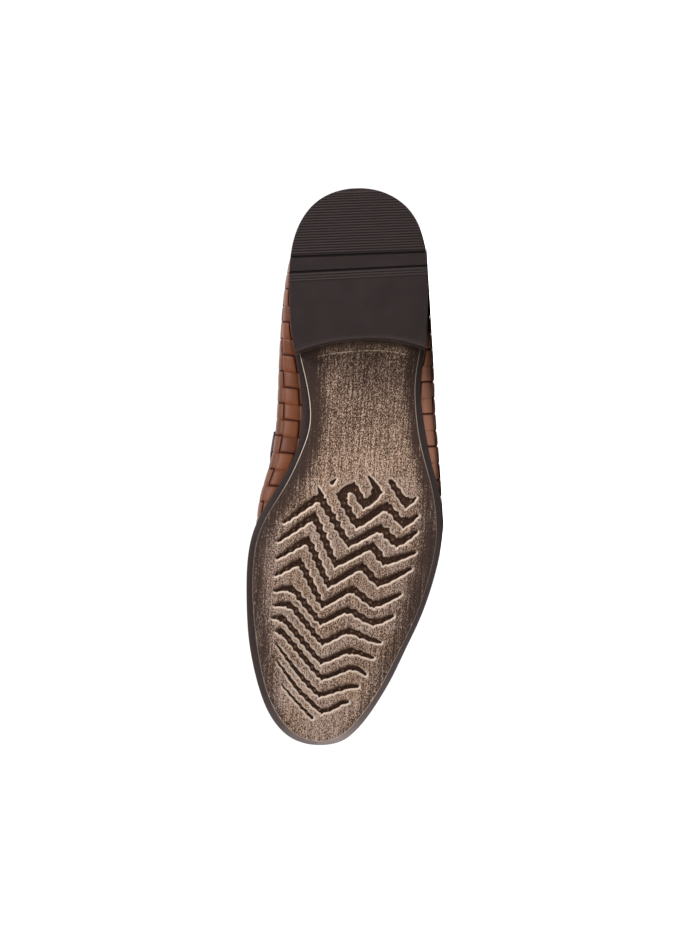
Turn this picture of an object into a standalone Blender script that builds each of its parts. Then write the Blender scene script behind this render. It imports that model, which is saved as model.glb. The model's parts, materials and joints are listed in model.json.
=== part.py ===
"""A right-foot leather loafer with a woven upper, lying on its lateral side.

The shoe is drawn in its own standing frame, in millimetres: X runs from the back of the
heel to the toe, Y towards the medial side and Z up from the tread. An empty then lays the
whole shoe on its side in metres, sole edge and upper both on the floor at Z = 0.
"""
import math

import bmesh
import bpy
import numpy as np
from mathutils import Matrix, Vector

MM = 0.001
GAP = 0.3
UPPER_SEAT_GAP = 0.35

# Plan lines. Each runs from a back end to a front end, with a row for each section between.
# Columns: x, medial reach, lateral reach.
SOLE_EDGE_ENDS = ((0.0, -3.0), (302.0, 2.0))
SOLE_EDGE = (
    (2.0, 11.0, -14.8),
    (10.0, 22.3, -29.3),
    (20.0, 29.0, -35.9),
    (35.0, 33.0, -40.5),
    (50.0, 33.3, -42.2),
    (65.0, 32.1, -42.9),
    (80.0, 30.0, -43.1),
    (100.0, 25.0, -42.4),
    (115.0, 22.1, -43.7),
    (130.0, 21.3, -46.9),
    (145.0, 23.7, -50.8),
    (160.0, 29.9, -55.8),
    (170.0, 35.2, -58.2),
    (180.0, 40.1, -58.9),
    (190.0, 43.3, -58.4),
    (202.0, 44.8, -56.7),
    (216.0, 44.6, -53.6),
    (230.0, 43.5, -49.4),
    (245.0, 41.6, -43.6),
    (260.0, 38.2, -37.8),
    (275.0, 33.3, -30.7),
    (285.0, 28.6, -25.0),
    (293.0, 22.7, -19.1),
    (299.0, 15.0, -12.0),
)
TREAD_FACE_ENDS = ((1.6, -3.0), (299.3, 1.0))
TREAD_FACE = (
    (20.0, 27.2, -34.2),
    (50.0, 31.6, -40.6),
    (80.0, 28.0, -41.0),
    (100.0, 21.9, -39.2),
    (115.0, 17.9, -40.2),
    (130.0, 16.8, -42.8),
    (145.0, 20.5, -47.1),
    (160.0, 26.2, -51.9),
    (170.0, 31.2, -53.9),
    (180.0, 36.3, -55.2),
    (190.0, 39.8, -55.1),
    (202.0, 41.3, -53.6),
    (216.0, 41.1, -50.5),
    (230.0, 39.7, -46.4),
    (245.0, 37.3, -40.5),
    (260.0, 34.0, -34.3),
    (275.0, 29.2, -27.1),
    (285.0, 23.9, -20.8),
    (293.0, 17.1, -14.3),
)
FEATHER_ENDS = ((4.5, -3.0), (298.3, 2.0))
FEATHER = (
    (12.0, 21.5, -28.3),
    (22.0, 28.0, -34.8),
    (35.0, 31.4, -38.9),
    (50.0, 31.8, -40.6),
    (65.0, 30.6, -41.3),
    (80.0, 28.5, -41.5),
    (95.0, 24.7, -41.3),
    (110.0, 21.5, -41.9),
    (125.0, 20.2, -44.4),
    (140.0, 21.2, -48.0),
    (155.0, 26.0, -52.6),
    (170.0, 33.0, -55.4),
    (185.0, 39.0, -55.5),
    (200.0, 41.2, -53.6),
    (215.0, 41.1, -50.3),
    (230.0, 40.0, -46.0),
    (245.0, 38.0, -40.3),
    (260.0, 34.6, -34.4),
    (275.0, 29.3, -27.4),
    (287.0, 22.2, -19.4),
    (294.5, 14.2, -10.9),
)
WIDEST_ENDS = ((2.2, -3.0), (299.6, 2.0))
WIDEST = (
    (10.0, 20.5, -27.6),
    (20.0, 29.5, -36.8),
    (35.0, 34.8, -42.2),
    (50.0, 36.7, -44.5),
    (65.0, 37.4, -45.8),
    (80.0, 37.4, -46.8),
    (95.0, 37.1, -48.2),
    (110.0, 36.4, -50.2),
    (125.0, 35.9, -52.4),
    (140.0, 36.2, -54.8),
    (155.0, 38.5, -56.6),
    (170.0, 41.6, -57.2),
    (185.0, 42.5, -56.8),
    (200.0, 43.2, -55.2),
    (215.0, 43.1, -52.0),
    (230.0, 42.1, -47.8),
    (245.0, 39.9, -42.2),
    (260.0, 36.6, -36.2),
    (275.0, 31.3, -29.4),
    (287.0, 24.4, -21.4),
    (295.0, 15.9, -12.5),
)

# The widest line from the side. Columns: x, height.
WIDEST_HEIGHT = (
    (2.2, 46.0),
    (40.0, 47.0),
    (75.0, 44.5),
    (100.0, 39.0),
    (125.0, 31.8),
    (150.0, 25.6),
    (175.0, 21.0),
    (200.0, 19.0),
    (225.0, 18.6),
    (250.0, 19.4),
    (275.0, 21.4),
    (299.6, 24.0),
)

# How full the upper is below its widest line: 2 is an ellipse, and more is squarer.
BELLY = 2.3

# The ridge that the upper closes to over the foot, imagined on over the opening.
# Columns: x, side shift, height, fullness of the crown (0 an ellipse, more is boxier).
RIDGE = (
    (15.0, -3.0, 97.0, 0.00),
    (50.0, -3.8, 97.0, 0.00),
    (80.0, -4.6, 95.0, 0.00),
    (104.0, -5.0, 91.0, -0.02),
    (125.0, -4.6, 85.0, -0.06),
    (146.0, -3.4, 77.2, -0.06),
    (168.0, -1.8, 68.0, -0.01),
    (190.0, -0.2, 59.4, 0.07),
    (212.0, 1.0, 51.8, 0.15),
    (235.0, 1.7, 45.2, 0.22),
    (258.0, 2.0, 39.2, 0.27),
    (277.0, 2.0, 34.6, 0.28),
)

# The sole from the side. Columns: x, underside height, thickness.
SOLE_PROFILE = (
    (0.0, 19.2, 5.2),
    (92.0, 19.2, 5.2),
    (101.0, 18.5, 5.1),
    (113.0, 16.4, 4.9),
    (130.0, 12.6, 4.7),
    (150.0, 7.2, 4.9),
    (170.0, 2.6, 5.5),
    (185.0, 0.6, 5.8),
    (196.0, 0.0, 5.9),
    (214.0, 0.0, 5.9),
    (232.0, 0.7, 5.8),
    (255.0, 2.8, 5.6),
    (280.0, 6.2, 5.4),
    (302.0, 9.8, 5.2),
)
EDGE_CHAMFER_SHARE = 0.5
EDGE_DRAFT = 0.5

# The collar line behind the throat. Columns: x, height.
TOPLINE = (
    (2.2, 86.5),
    (18.0, 84.0),
    (40.0, 77.0),
    (60.0, 72.8),
    (80.0, 71.0),
    (104.0, 71.4),
)
THROAT_START_X = 104.0
THROAT_X = 143.0

WALL = 2.2
LOWER_STEPS = 5
CROWN_STEPS = 10
COLLAR_ROWS = 14
THROAT_ROWS = 9
VAMP_ROWS = 22

# The tread: one row for each zigzag groove, from its medial tip to its lateral tip.
# Columns: medial tip, medial bend, peak, valley, lateral bend, lateral tip; each is (x, y).
ZIGZAGS = (
    ((182.3, 26.7), (166.7, 8.7), (191.7, -8.9), (180.9, -25.2), (189.7, -34.6), (182.3, -44.8)),
    ((192.5, 29.2), (177.2, 10.8), (203.1, -2.5), (190.8, -21.6), (200.0, -28.2), (193.3, -44.8)),
    ((201.7, 29.2), (190.1, 13.3), (214.3, 0.5), (202.0, -16.7), (211.9, -26.0), (202.2, -43.1)),
    ((210.7, 29.2), (202.0, 16.8), (225.4, 3.0), (214.6, -12.3), (223.5, -24.5), (216.0, -38.6)),
    ((219.1, 29.2), (216.2, 20.3), (234.7, 3.3), (225.8, -10.5), (233.2, -24.9), (228.2, -35.2)),
    ((226.9, 28.6), (225.1, 20.6), (245.7, 1.6), (237.0, -11.9), (241.2, -22.4), (242.9, -29.6)),
    ((233.8, 28.9), (232.6, 24.2), (256.1, 1.6), (247.9, -13.1), (250.0, -21.0), (251.6, -26.2)),
    ((240.7, 27.0), (239.7, 24.5), (264.9, 0.6), (257.4, -14.6), (258.3, -19.4), (261.1, -22.8)),
    ((248.2, 25.8), (262.7, 13.5), (274.3, 1.3), (270.2, -8.2), (267.9, -14.5), (267.8, -19.1)),
    ((256.9, 25.2), (271.5, 13.2), (283.4, -0.6), (280.2, -7.0), (277.0, -11.0), (276.6, -14.4)),
)
SHORT_GROOVES = (
    ((156.4, -29.2), (168.0, -38.2), (164.1, -43.2)),
    ((269.9, 21.6), (278.5, 13.4), (286.7, 4.4)),
)
CURL_GROOVE = (
    (154.5, -17.2), (162.4, -23.4), (170.5, -15.6), (159.5, -9.2), (165.2, -1.9),
    (181.2, -12.5), (168.7, -27.7), (179.2, -37.5), (173.5, -44.9),
)
GROOVE_DEPTH = 1.3
GROOVE_WIDTH_REAR = 3.6
GROOVE_WIDTH_FRONT = 1.7
GROOVE_TIP_SHARE = 0.45
LEAST_MITRE = 0.6
TREAD_BACK_X = 165.0
TREAD_FRONT_X = 285.0

# The heel. The breast is the concave front face; columns: x, y.
LIFT_HEIGHT = 6.0
HEEL_CORNER_MEDIAL_X = 91.5
HEEL_CORNER_LATERAL_X = 83.5
HEEL_BREAST = ((86.2, 15.0), (82.6, 1.0), (80.9, -11.0), (80.4, -22.0), (81.4, -32.0))
HEEL_INSET = 0.4
BLOCK_INSET = 0.9
HEEL_SIDE_STEPS = 18
LIFT_GROOVES = (((32.0, -40.0), (39.8, 33.0)), ((39.5, -40.0), (48.3, 33.0)))
LIFT_GROOVE_WIDTH = 1.6
LIFT_GROOVE_DEPTH = 1.6

INSOLE_INSET = 3.0
INSOLE_THICKNESS = 2.6

# The strap over the instep: its rear and front edge at the ridge and at its two ends.
STRAP_THICKNESS = 1.8
STRAP_RIDGE_X = (152.0, 175.0)
STRAP_END_X = (134.5, 160.0)
STRAP_END_RISE = {1: 0.10, -1: 0.26}
STRAP_STEPS_ACROSS = 26
STRAP_STEPS_ALONG = 4

SOLE_SECTIONS = 54
INSOLE_SECTIONS = 54

# How squarely a side of the hull has to face lateral to be the one that the shoe lies on.
LATERAL_FACING = -0.8

# Colours (linear RGB), roughness.
SOLE_RUBBER = ((0.22, 0.16, 0.12), 0.75)
LIFT_RUBBER = ((0.035, 0.028, 0.026), 0.55)
HEEL_STACK = ((0.045, 0.036, 0.033), 0.6)
UPPER_LEATHER = ((0.20, 0.075, 0.038), 0.5)
STRAP_LEATHER = ((0.10, 0.036, 0.018), 0.45)
FOOTBED_LEATHER = ((0.42, 0.27, 0.16), 0.7)


def smooth_curve(xs, ys):
    """A function through the points that keeps their rises and falls, with no overshoot."""
    xs = np.array(xs, dtype=float)
    ys = np.array(ys, dtype=float)
    steps = np.diff(xs)
    slopes = np.diff(ys) / steps
    tangents = np.empty(len(xs))
    tangents[0] = slopes[0]
    tangents[-1] = slopes[-1]
    for i in range(1, len(xs) - 1):
        before, after = slopes[i - 1], slopes[i]
        if before * after <= 0.0:
            tangents[i] = 0.0
        else:
            near, far = 2 * steps[i] + steps[i - 1], steps[i] + 2 * steps[i - 1]
            tangents[i] = (near + far) / (near / before + far / after)

    def value(x):
        i = int(np.clip(np.searchsorted(xs, x) - 1, 0, len(steps) - 1))
        t = min(max((x - xs[i]) / steps[i], 0.0), 1.0)
        start = ys[i] * (1 + 2 * t) * (1 - t) ** 2 + steps[i] * tangents[i] * t * (1 - t) ** 2
        end = ys[i + 1] * t * t * (3 - 2 * t) - steps[i] * tangents[i + 1] * t * t * (1 - t)
        return float(start + end)

    return value


def flowing_curve(xs, ys):
    """A natural cubic spline through the points, for outlines that must not show their rows."""
    xs = np.array(xs, dtype=float)
    ys = np.array(ys, dtype=float)
    steps = np.diff(xs)
    count = len(xs)
    system = np.eye(count)
    right = np.zeros(count)
    for i in range(1, count - 1):
        system[i, i - 1:i + 2] = (steps[i - 1], 2 * (steps[i - 1] + steps[i]), steps[i])
        right[i] = 6 * ((ys[i + 1] - ys[i]) / steps[i] - (ys[i] - ys[i - 1]) / steps[i - 1])
    bends = np.linalg.solve(system, right)

    def value(x):
        i = int(np.clip(np.searchsorted(xs, x) - 1, 0, count - 2))
        h = steps[i]
        a, b = (xs[i + 1] - x) / h, (x - xs[i]) / h
        curve = ((a ** 3 - a) * bends[i] + (b ** 3 - b) * bends[i + 1]) * h * h / 6
        return float(a * ys[i] + b * ys[i + 1] + curve)

    return value


class Outline:
    """A closed plan line. Station 0 is its back end and station 1 its front end."""

    def __init__(self, ends, rows):
        (self.back_x, back_y), (self.front_x, front_y) = ends
        stations = [0.0] + [self.station(row[0]) for row in rows] + [1.0]
        self.medial = flowing_curve(stations, [back_y] + [row[1] for row in rows] + [front_y])
        self.lateral = flowing_curve(stations, [back_y] + [row[2] for row in rows] + [front_y])

    def station(self, x):
        share = (x - self.back_x) / (self.front_x - self.back_x)
        return math.acos(1 - 2 * min(max(share, 0.0), 1.0)) / math.pi

    def x(self, station):
        return self.back_x + (self.front_x - self.back_x) * (1 - math.cos(math.pi * station)) / 2

    def reach(self, station, side):
        return self.medial(station) if side > 0 else self.lateral(station)

    def ring(self, sections):
        """Plan points from the back, along the medial side, and home along the lateral side."""
        stations = [i / sections for i in range(sections + 1)]
        out = [(self.x(s), self.medial(s)) for s in stations]
        home = [(self.x(s), self.lateral(s)) for s in reversed(stations[1:-1])]
        return out + home


sole_edge = Outline(SOLE_EDGE_ENDS, SOLE_EDGE)
tread_face = Outline(TREAD_FACE_ENDS, TREAD_FACE)
feather = Outline(FEATHER_ENDS, FEATHER)
widest = Outline(WIDEST_ENDS, WIDEST)

sole_underside = smooth_curve([row[0] for row in SOLE_PROFILE], [row[1] for row in SOLE_PROFILE])
sole_thickness = smooth_curve([row[0] for row in SOLE_PROFILE], [row[2] for row in SOLE_PROFILE])

widest_height = flowing_curve(*zip(*WIDEST_HEIGHT))
RIDGE_X, RIDGE_SHIFT, RIDGE_HEIGHT, RIDGE_FULLNESS = zip(*RIDGE)
ridge_shift = flowing_curve(RIDGE_X, RIDGE_SHIFT)
ridge_height = flowing_curve(RIDGE_X, RIDGE_HEIGHT)
crown_fullness = flowing_curve(RIDGE_X, RIDGE_FULLNESS)
topline_height = smooth_curve(*zip(*TOPLINE))


def sole_top(x):
    return sole_underside(x) + sole_thickness(x)


def ridge_x(station):
    return RIDGE_X[0] + (RIDGE_X[-1] - RIDGE_X[0]) * (1 - math.cos(math.pi * station)) / 2


def upper_point(station, side, rise):
    """A point of the upper's outer face. Side is 1 medial or -1 lateral; rise runs from -1
    at the feather line, through 0 at the widest line, to 1 at the ridge."""
    wide_x = widest.x(station)
    wide_y = widest.reach(station, side)
    wide_z = widest_height(wide_x)
    angle = abs(rise) * math.pi / 2
    if rise < 0.0:
        spread = max(math.cos(angle), 0.0) ** (2 / BELLY)
        drop = math.sin(angle) ** (2 / BELLY)
        foot_x = feather.x(station)
        foot_y = feather.reach(station, side)
        foot_z = sole_top(foot_x) + UPPER_SEAT_GAP
        return Vector((
            foot_x + (wide_x - foot_x) * spread,
            foot_y + (wide_y - foot_y) * spread,
            wide_z + (foot_z - wide_z) * drop,
        ))
    top_x = ridge_x(station)
    centre_y = ridge_shift(top_x)
    swell = math.cos(angle) * (1 + crown_fullness(top_x) * math.sin(angle) ** 2)
    return Vector((
        wide_x + (top_x - wide_x) * math.sin(angle) ** 2,
        centre_y + (wide_y - centre_y) * swell,
        wide_z + (ridge_height(top_x) - wide_z) * math.sin(angle),
    ))


def topline_rise(station):
    """How far up the crown the collar's edge is, behind the throat."""
    low = widest_height(widest.x(station))
    share = (topline_height(widest.x(station)) - low) / (ridge_height(ridge_x(station)) - low)
    return math.asin(share) / (math.pi / 2)


def upper_rows():
    """The upper's sections, heel to toe. Each is (station below, station and rise at its top)."""
    start = widest.station(THROAT_START_X)
    apex = widest.station(THROAT_X)
    start_rise = topline_rise(start)
    rows = []
    for i in range(COLLAR_ROWS):
        station = start * i / COLLAR_ROWS
        rows.append((station, station, topline_rise(station)))
    for i in range(THROAT_ROWS + 1):
        turn = i / THROAT_ROWS * math.pi / 2
        below = start + (apex - start) * i / THROAT_ROWS
        rows.append((below, start + (apex - start) * math.sin(turn), 1 - (1 - start_rise) * math.cos(turn)))
    for i in range(1, VAMP_ROWS + 1):
        station = apex + (1 - apex) * i / VAMP_ROWS
        rows.append((station, station, 1.0))
    return rows


def upper_section(row, side):
    """The points of one section on one side, from the feather line to its top."""
    below, top_station, top_rise = row
    points = []
    for k in range(LOWER_STEPS):
        points.append(upper_point(below, side, -1 + k / LOWER_STEPS))
    for k in range(CROWN_STEPS + 1):
        share = k / CROWN_STEPS
        station = below + (top_station - below) * share ** 2
        points.append(upper_point(station, side, top_rise * share))
    return points


def new_object(name, mesh, collection, parent):
    obj = bpy.data.objects.new(name, mesh)
    collection.objects.link(obj)
    obj.parent = parent
    return obj


def mesh_from(name, points, faces):
    """A mesh from points in millimetres, with doubled points merged and faces turned out."""
    shape = bmesh.new()
    verts = [shape.verts.new(Vector(point) * MM) for point in points]
    for face in faces:
        shape.faces.new([verts[i] for i in face])
    bmesh.ops.remove_doubles(shape, verts=shape.verts[:], dist=1e-6)
    bmesh.ops.dissolve_degenerate(shape, edges=shape.edges[:], dist=1e-6)
    mesh = bpy.data.meshes.new(name)
    shape.to_mesh(mesh)
    shape.free()
    return mesh


def turn_out(mesh):
    """Make every face of a closed mesh point outwards."""
    shape = bmesh.new()
    shape.from_mesh(mesh)
    bmesh.ops.recalc_face_normals(shape, faces=shape.faces[:])
    shape.to_mesh(mesh)
    shape.free()


def strip_cap(first, count):
    """Faces across a ring of plan points, each medial point joined to its lateral partner."""
    half = count // 2
    faces = [(first, first + 1, first + count - 1)]
    for i in range(1, half - 1):
        faces.append((first + i, first + i + 1, first + count - i - 1, first + count - i))
    faces.append((first + half - 1, first + half, first + half + 1))
    return faces


def stacked_mesh(name, rings, cap):
    """A closed body: rings of equal count joined by walls, and capped at both ends."""
    count = len(rings[0])
    points = [point for ring in rings for point in ring]
    faces = list(cap(0, count))
    for level in range(len(rings) - 1):
        low, high = level * count, (level + 1) * count
        for i in range(count):
            j = (i + 1) % count
            faces.append((low + i, low + j, high + j, high + i))
    faces += cap((len(rings) - 1) * count, count)
    mesh = mesh_from(name, points, faces)
    turn_out(mesh)
    return mesh


def flat_cap(first, count):
    return [tuple(range(first, first + count))]


def inset_ring(ring, distance):
    """The ring of plan points moved inwards by a distance, square to itself."""
    count = len(ring)
    moved = []
    for i in range(count):
        back, here, ahead = Vector(ring[i - 1]), Vector(ring[i]), Vector(ring[(i + 1) % count])
        along = (ahead - back).normalized()
        moved.append((here.x + along.y * distance, here.y - along.x * distance))
    return moved


def make_material(name, colour_and_roughness):
    colour, roughness = colour_and_roughness
    material = bpy.data.materials.new(name)
    material.use_nodes = True
    shader = material.node_tree.nodes["Principled BSDF"]
    shader.inputs["Base Color"].default_value = (*colour, 1.0)
    shader.inputs["Roughness"].default_value = roughness
    shader.inputs["Metallic"].default_value = 0.0
    return material


def groove_prism(path):
    """The closed cutter of one tread groove, following the underside of the sole."""
    points = [Vector(point) for point in path]
    last = len(points) - 1
    left, right = [], []
    for i, here in enumerate(points):
        arrive = (here - points[i - 1]).normalized() if i > 0 else None
        leave = (points[i + 1] - here).normalized() if i < last else None
        along = ((arrive or leave) + (leave or arrive)).normalized()
        across = Vector((-along.y, along.x))
        share = min(max((here.x - TREAD_BACK_X) / (TREAD_FRONT_X - TREAD_BACK_X), 0.0), 1.0)
        width = GROOVE_WIDTH_REAR + (GROOVE_WIDTH_FRONT - GROOVE_WIDTH_REAR) * share
        if i in (0, last):
            width *= GROOVE_TIP_SHARE
        else:
            width /= max(across.dot(Vector((-leave.y, leave.x))), LEAST_MITRE)
        left.append(here + across * width / 2)
        right.append(here - across * width / 2)
    outline = left + right[::-1]
    floor = [(p.x, p.y, sole_underside(p.x) + GROOVE_DEPTH) for p in outline]
    below = [(p.x, p.y, sole_underside(p.x) - GROOVE_DEPTH) for p in outline]
    count = len(outline)
    faces = []
    for base in (0, count):
        for i in range(last):
            faces.append((base + i, base + i + 1, base + count - 2 - i, base + count - 1 - i))
    for i in range(count):
        j = (i + 1) % count
        faces.append((i, j, count + j, count + i))
    return floor + below, faces


def make_outsole(collection, cutters, parent):
    edge = sole_edge.ring(SOLE_SECTIONS)
    face = tread_face.ring(SOLE_SECTIONS)
    shelf = inset_ring(edge, EDGE_DRAFT)
    bottom = [(x, y, sole_underside(x)) for x, y in face]
    middle = [(x, y, sole_underside(x) + sole_thickness(x) * EDGE_CHAMFER_SHARE) for x, y in edge]
    top = [(x, y, sole_top(x)) for x, y in shelf]
    mesh = stacked_mesh("outsole", (bottom, middle, top), strip_cap)
    outsole = new_object("outsole", mesh, collection, parent)
    points, faces = [], []
    for path in ZIGZAGS + SHORT_GROOVES + (CURL_GROOVE,):
        groove_points, groove_faces = groove_prism(path)
        faces += [tuple(len(points) + i for i in f) for f in groove_faces]
        points += groove_points
    cutter_mesh = mesh_from("tread_cutter", points, faces)
    turn_out(cutter_mesh)
    add_cut(outsole, new_object("tread_cutter", cutter_mesh, cutters, parent))
    outsole.data.materials.append(make_material("sole_rubber", SOLE_RUBBER))


def add_cut(obj, cutter):
    cutter.hide_render = True
    cutter.display_type = "WIRE"
    cut = obj.modifiers.new("cut_" + cutter.name, "BOOLEAN")
    cut.operation = "DIFFERENCE"
    cut.solver = "EXACT"
    cut.object = cutter


def heel_ring(inset):
    """The heel's plan: round the back from corner to corner, then along the concave breast."""
    medial_end = sole_edge.station(HEEL_CORNER_MEDIAL_X)
    lateral_end = sole_edge.station(HEEL_CORNER_LATERAL_X)
    ring = []
    for i in range(HEEL_SIDE_STEPS):
        station = lateral_end * (1 - i / HEEL_SIDE_STEPS)
        ring.append((sole_edge.x(station), sole_edge.lateral(station)))
    for i in range(HEEL_SIDE_STEPS + 1):
        station = medial_end * i / HEEL_SIDE_STEPS
        ring.append((sole_edge.x(station), sole_edge.medial(station)))
    return inset_ring(ring + list(HEEL_BREAST), inset)


def make_heel(collection, cutters, parent):
    lift_ring = heel_ring(HEEL_INSET)
    levels = (0.0, LIFT_HEIGHT)
    rings = [[(x, y, z) for x, y in lift_ring] for z in levels]
    lift = new_object("top_lift", stacked_mesh("top_lift", rings, flat_cap), collection, parent)
    lift.data.materials.append(make_material("lift_rubber", LIFT_RUBBER))
    for number, (start, end) in enumerate(LIFT_GROOVES, 1):
        run = Vector(end) - Vector(start)
        bpy.ops.mesh.primitive_cube_add(size=1.0)
        cutter = bpy.context.object
        cutter.name = f"lift_cutter_{number}"
        for holder in list(cutter.users_collection):
            holder.objects.unlink(cutter)
        cutters.objects.link(cutter)
        size = Vector((run.length * 1.3, LIFT_GROOVE_WIDTH, 2 * LIFT_GROOVE_DEPTH)) * MM
        cutter.data.transform(Matrix.Diagonal((*size, 1.0)))
        centre = (Vector(start) + Vector(end)) / 2
        cutter.parent = parent
        cutter.location = Vector((centre.x, centre.y, 0.0)) * MM
        cutter.rotation_euler.z = math.atan2(run.y, run.x)
        add_cut(lift, cutter)
    block_top = sole_underside(0.0) - GAP
    block_levels = ((LIFT_HEIGHT + GAP, BLOCK_INSET), (block_top, HEEL_INSET))
    rings = [[(x, y, z) for x, y in heel_ring(inset)] for z, inset in block_levels]
    block = new_object("heel_block", stacked_mesh("heel_block", rings, flat_cap), collection, parent)
    block.data.materials.append(make_material("heel_stack", HEEL_STACK))


def make_upper(collection, parent):
    rows = upper_rows()
    top = LOWER_STEPS + CROWN_STEPS
    points, faces = [], []
    for row in rows:
        for side in (-1, 1):
            points += upper_section(row, side)
    width = 2 * (top + 1)
    for i in range(len(rows) - 1):
        for side_offset, outward in ((0, False), (top + 1, True)):
            for k in range(top):
                a = i * width + side_offset + k
                quad = (a, a + 1, a + width + 1, a + width)
                faces.append(quad if outward else quad[::-1])
    upper = new_object("upper", mesh_from("upper", points, faces), collection, parent)
    wall = upper.modifiers.new("wall", "SOLIDIFY")
    wall.thickness = WALL * MM
    wall.offset = -1.0
    upper.data.materials.append(make_material("upper_leather", UPPER_LEATHER))


def make_insole(collection, parent):
    ring = inset_ring(feather.ring(INSOLE_SECTIONS), INSOLE_INSET)
    low = [(x, y, sole_top(x) + GAP) for x, y in ring]
    high = [(x, y, sole_top(x) + GAP + INSOLE_THICKNESS) for x, y in ring]
    mesh = stacked_mesh("insole", (low, high), strip_cap)
    insole = new_object("insole", mesh, collection, parent)
    insole.data.materials.append(make_material("footbed_leather", FOOTBED_LEATHER))


def strap_point(across, along):
    """Across runs from -1 at the lateral end to 1 at the medial end, along from rear to front."""
    side = 1 if across > 0 else -1
    rise = 1 - abs(across) * (1 - STRAP_END_RISE[side])
    rear = STRAP_RIDGE_X[0] + (STRAP_END_X[0] - STRAP_RIDGE_X[0]) * abs(across) ** 2
    front = STRAP_RIDGE_X[1] + (STRAP_END_X[1] - STRAP_RIDGE_X[1]) * abs(across) ** 2
    return upper_point(widest.station(rear + (front - rear) * along), side, rise)


def make_strap(collection, parent):
    points, faces = [], []
    for i in range(STRAP_STEPS_ACROSS + 1):
        for k in range(STRAP_STEPS_ALONG + 1):
            points.append(strap_point(2 * i / STRAP_STEPS_ACROSS - 1, k / STRAP_STEPS_ALONG))
    width = STRAP_STEPS_ALONG + 1
    for i in range(STRAP_STEPS_ACROSS):
        for k in range(STRAP_STEPS_ALONG):
            a = i * width + k
            faces.append((a, a + 1, a + width + 1, a + width))
    strap = new_object("saddle_strap", mesh_from("saddle_strap", points, faces), collection, parent)
    body = strap.modifiers.new("body", "SOLIDIFY")
    body.thickness = STRAP_THICKNESS * MM
    body.offset = 1 + 2 * GAP / STRAP_THICKNESS
    strap.data.materials.append(make_material("strap_leather", STRAP_LEATHER))


def evaluated_points(objects):
    """Each object's finished points and triangles, in its own frame."""
    graph = bpy.context.evaluated_depsgraph_get()
    shapes = []
    for obj in objects:
        finished = obj.evaluated_get(graph)
        mesh = finished.to_mesh()
        mesh.calc_loop_triangles()
        points = np.array([vert.co for vert in mesh.vertices])
        triangles = np.array([tri.vertices for tri in mesh.loop_triangles])
        shapes.append((points, triangles))
        finished.to_mesh_clear()
    return shapes


def balance_point(shapes):
    """The centre of mass of the closed shapes, all of one density."""
    volume, moment = 0.0, np.zeros(3)
    for points, triangles in shapes:
        a, b, c = (points[triangles[:, i]] for i in range(3))
        parts = np.einsum("ij,ij->i", a, np.cross(b, c)) / 6
        volume += parts.sum()
        moment += (parts[:, None] * (a + b + c) / 4).sum(axis=0)
    return Vector(moment / volume)


def resting_side(shapes):
    """The outward direction of the flat side, towards lateral, that the shoe comes to rest on."""
    balance = balance_point(shapes)
    hull = bmesh.new()
    for points, _ in shapes:
        for point in points:
            hull.verts.new(point)
    bmesh.ops.remove_doubles(hull, verts=hull.verts[:], dist=1e-5)
    bmesh.ops.convex_hull(hull, input=hull.verts[:])
    best, best_drop = None, None
    for face in hull.faces:
        face.normal_update()
        normal = face.normal if face.normal.dot(face.verts[0].co - balance) > 0 else -face.normal
        drop = normal.dot(face.verts[0].co - balance)
        if normal.y < LATERAL_FACING and (best is None or drop < best_drop):
            best, best_drop = normal.copy(), drop
    hull.free()
    return best


def lay_down(holder, objects):
    """Turn the holder so that the shoe rests on its lateral side, over the origin."""
    shapes = evaluated_points(objects)
    down = resting_side(shapes)
    heelward = (down * down.x - Vector((1, 0, 0))).normalized()
    turn = Matrix((heelward, heelward.cross(down), -down))
    world = np.vstack([points @ np.array(turn).T for points, _ in shapes])
    low, high = world.min(axis=0), world.max(axis=0)
    holder.rotation_euler = turn.to_euler()
    holder.location = Vector((-(low[0] + high[0]) / 2, -(low[1] + high[1]) / 2, -low[2]))


def main():
    for obj in list(bpy.data.objects):
        bpy.data.objects.remove(obj, do_unlink=True)
    collection = bpy.data.collections.new("loafer")
    cutters = bpy.data.collections.new("cutters")
    bpy.context.scene.collection.children.link(collection)
    bpy.context.scene.collection.children.link(cutters)
    holder = bpy.data.objects.new("resting_frame", None)
    collection.objects.link(holder)
    make_upper(collection, holder)
    make_outsole(collection, cutters, holder)
    make_heel(collection, cutters, holder)
    make_insole(collection, holder)
    make_strap(collection, holder)
    bpy.context.view_layer.update()
    lay_down(holder, [obj for obj in collection.objects if obj.type == "MESH"])


main()
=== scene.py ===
"""The looks of a right-foot woven leather loafer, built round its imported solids.

Every piece is drawn in the shoe's own standing frame, in millimetres: X runs from the back
of the heel to the toe, Y towards the medial side and Z up from the tread. Two mounts of the
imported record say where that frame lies, now that the shoe rests on its lateral side.
"""

import json
import math

import bmesh
import bpy
import numpy as np
from mathutils import Matrix, Vector
from mathutils.bvhtree import BVHTree
from mathutils.kdtree import KDTree


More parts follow.
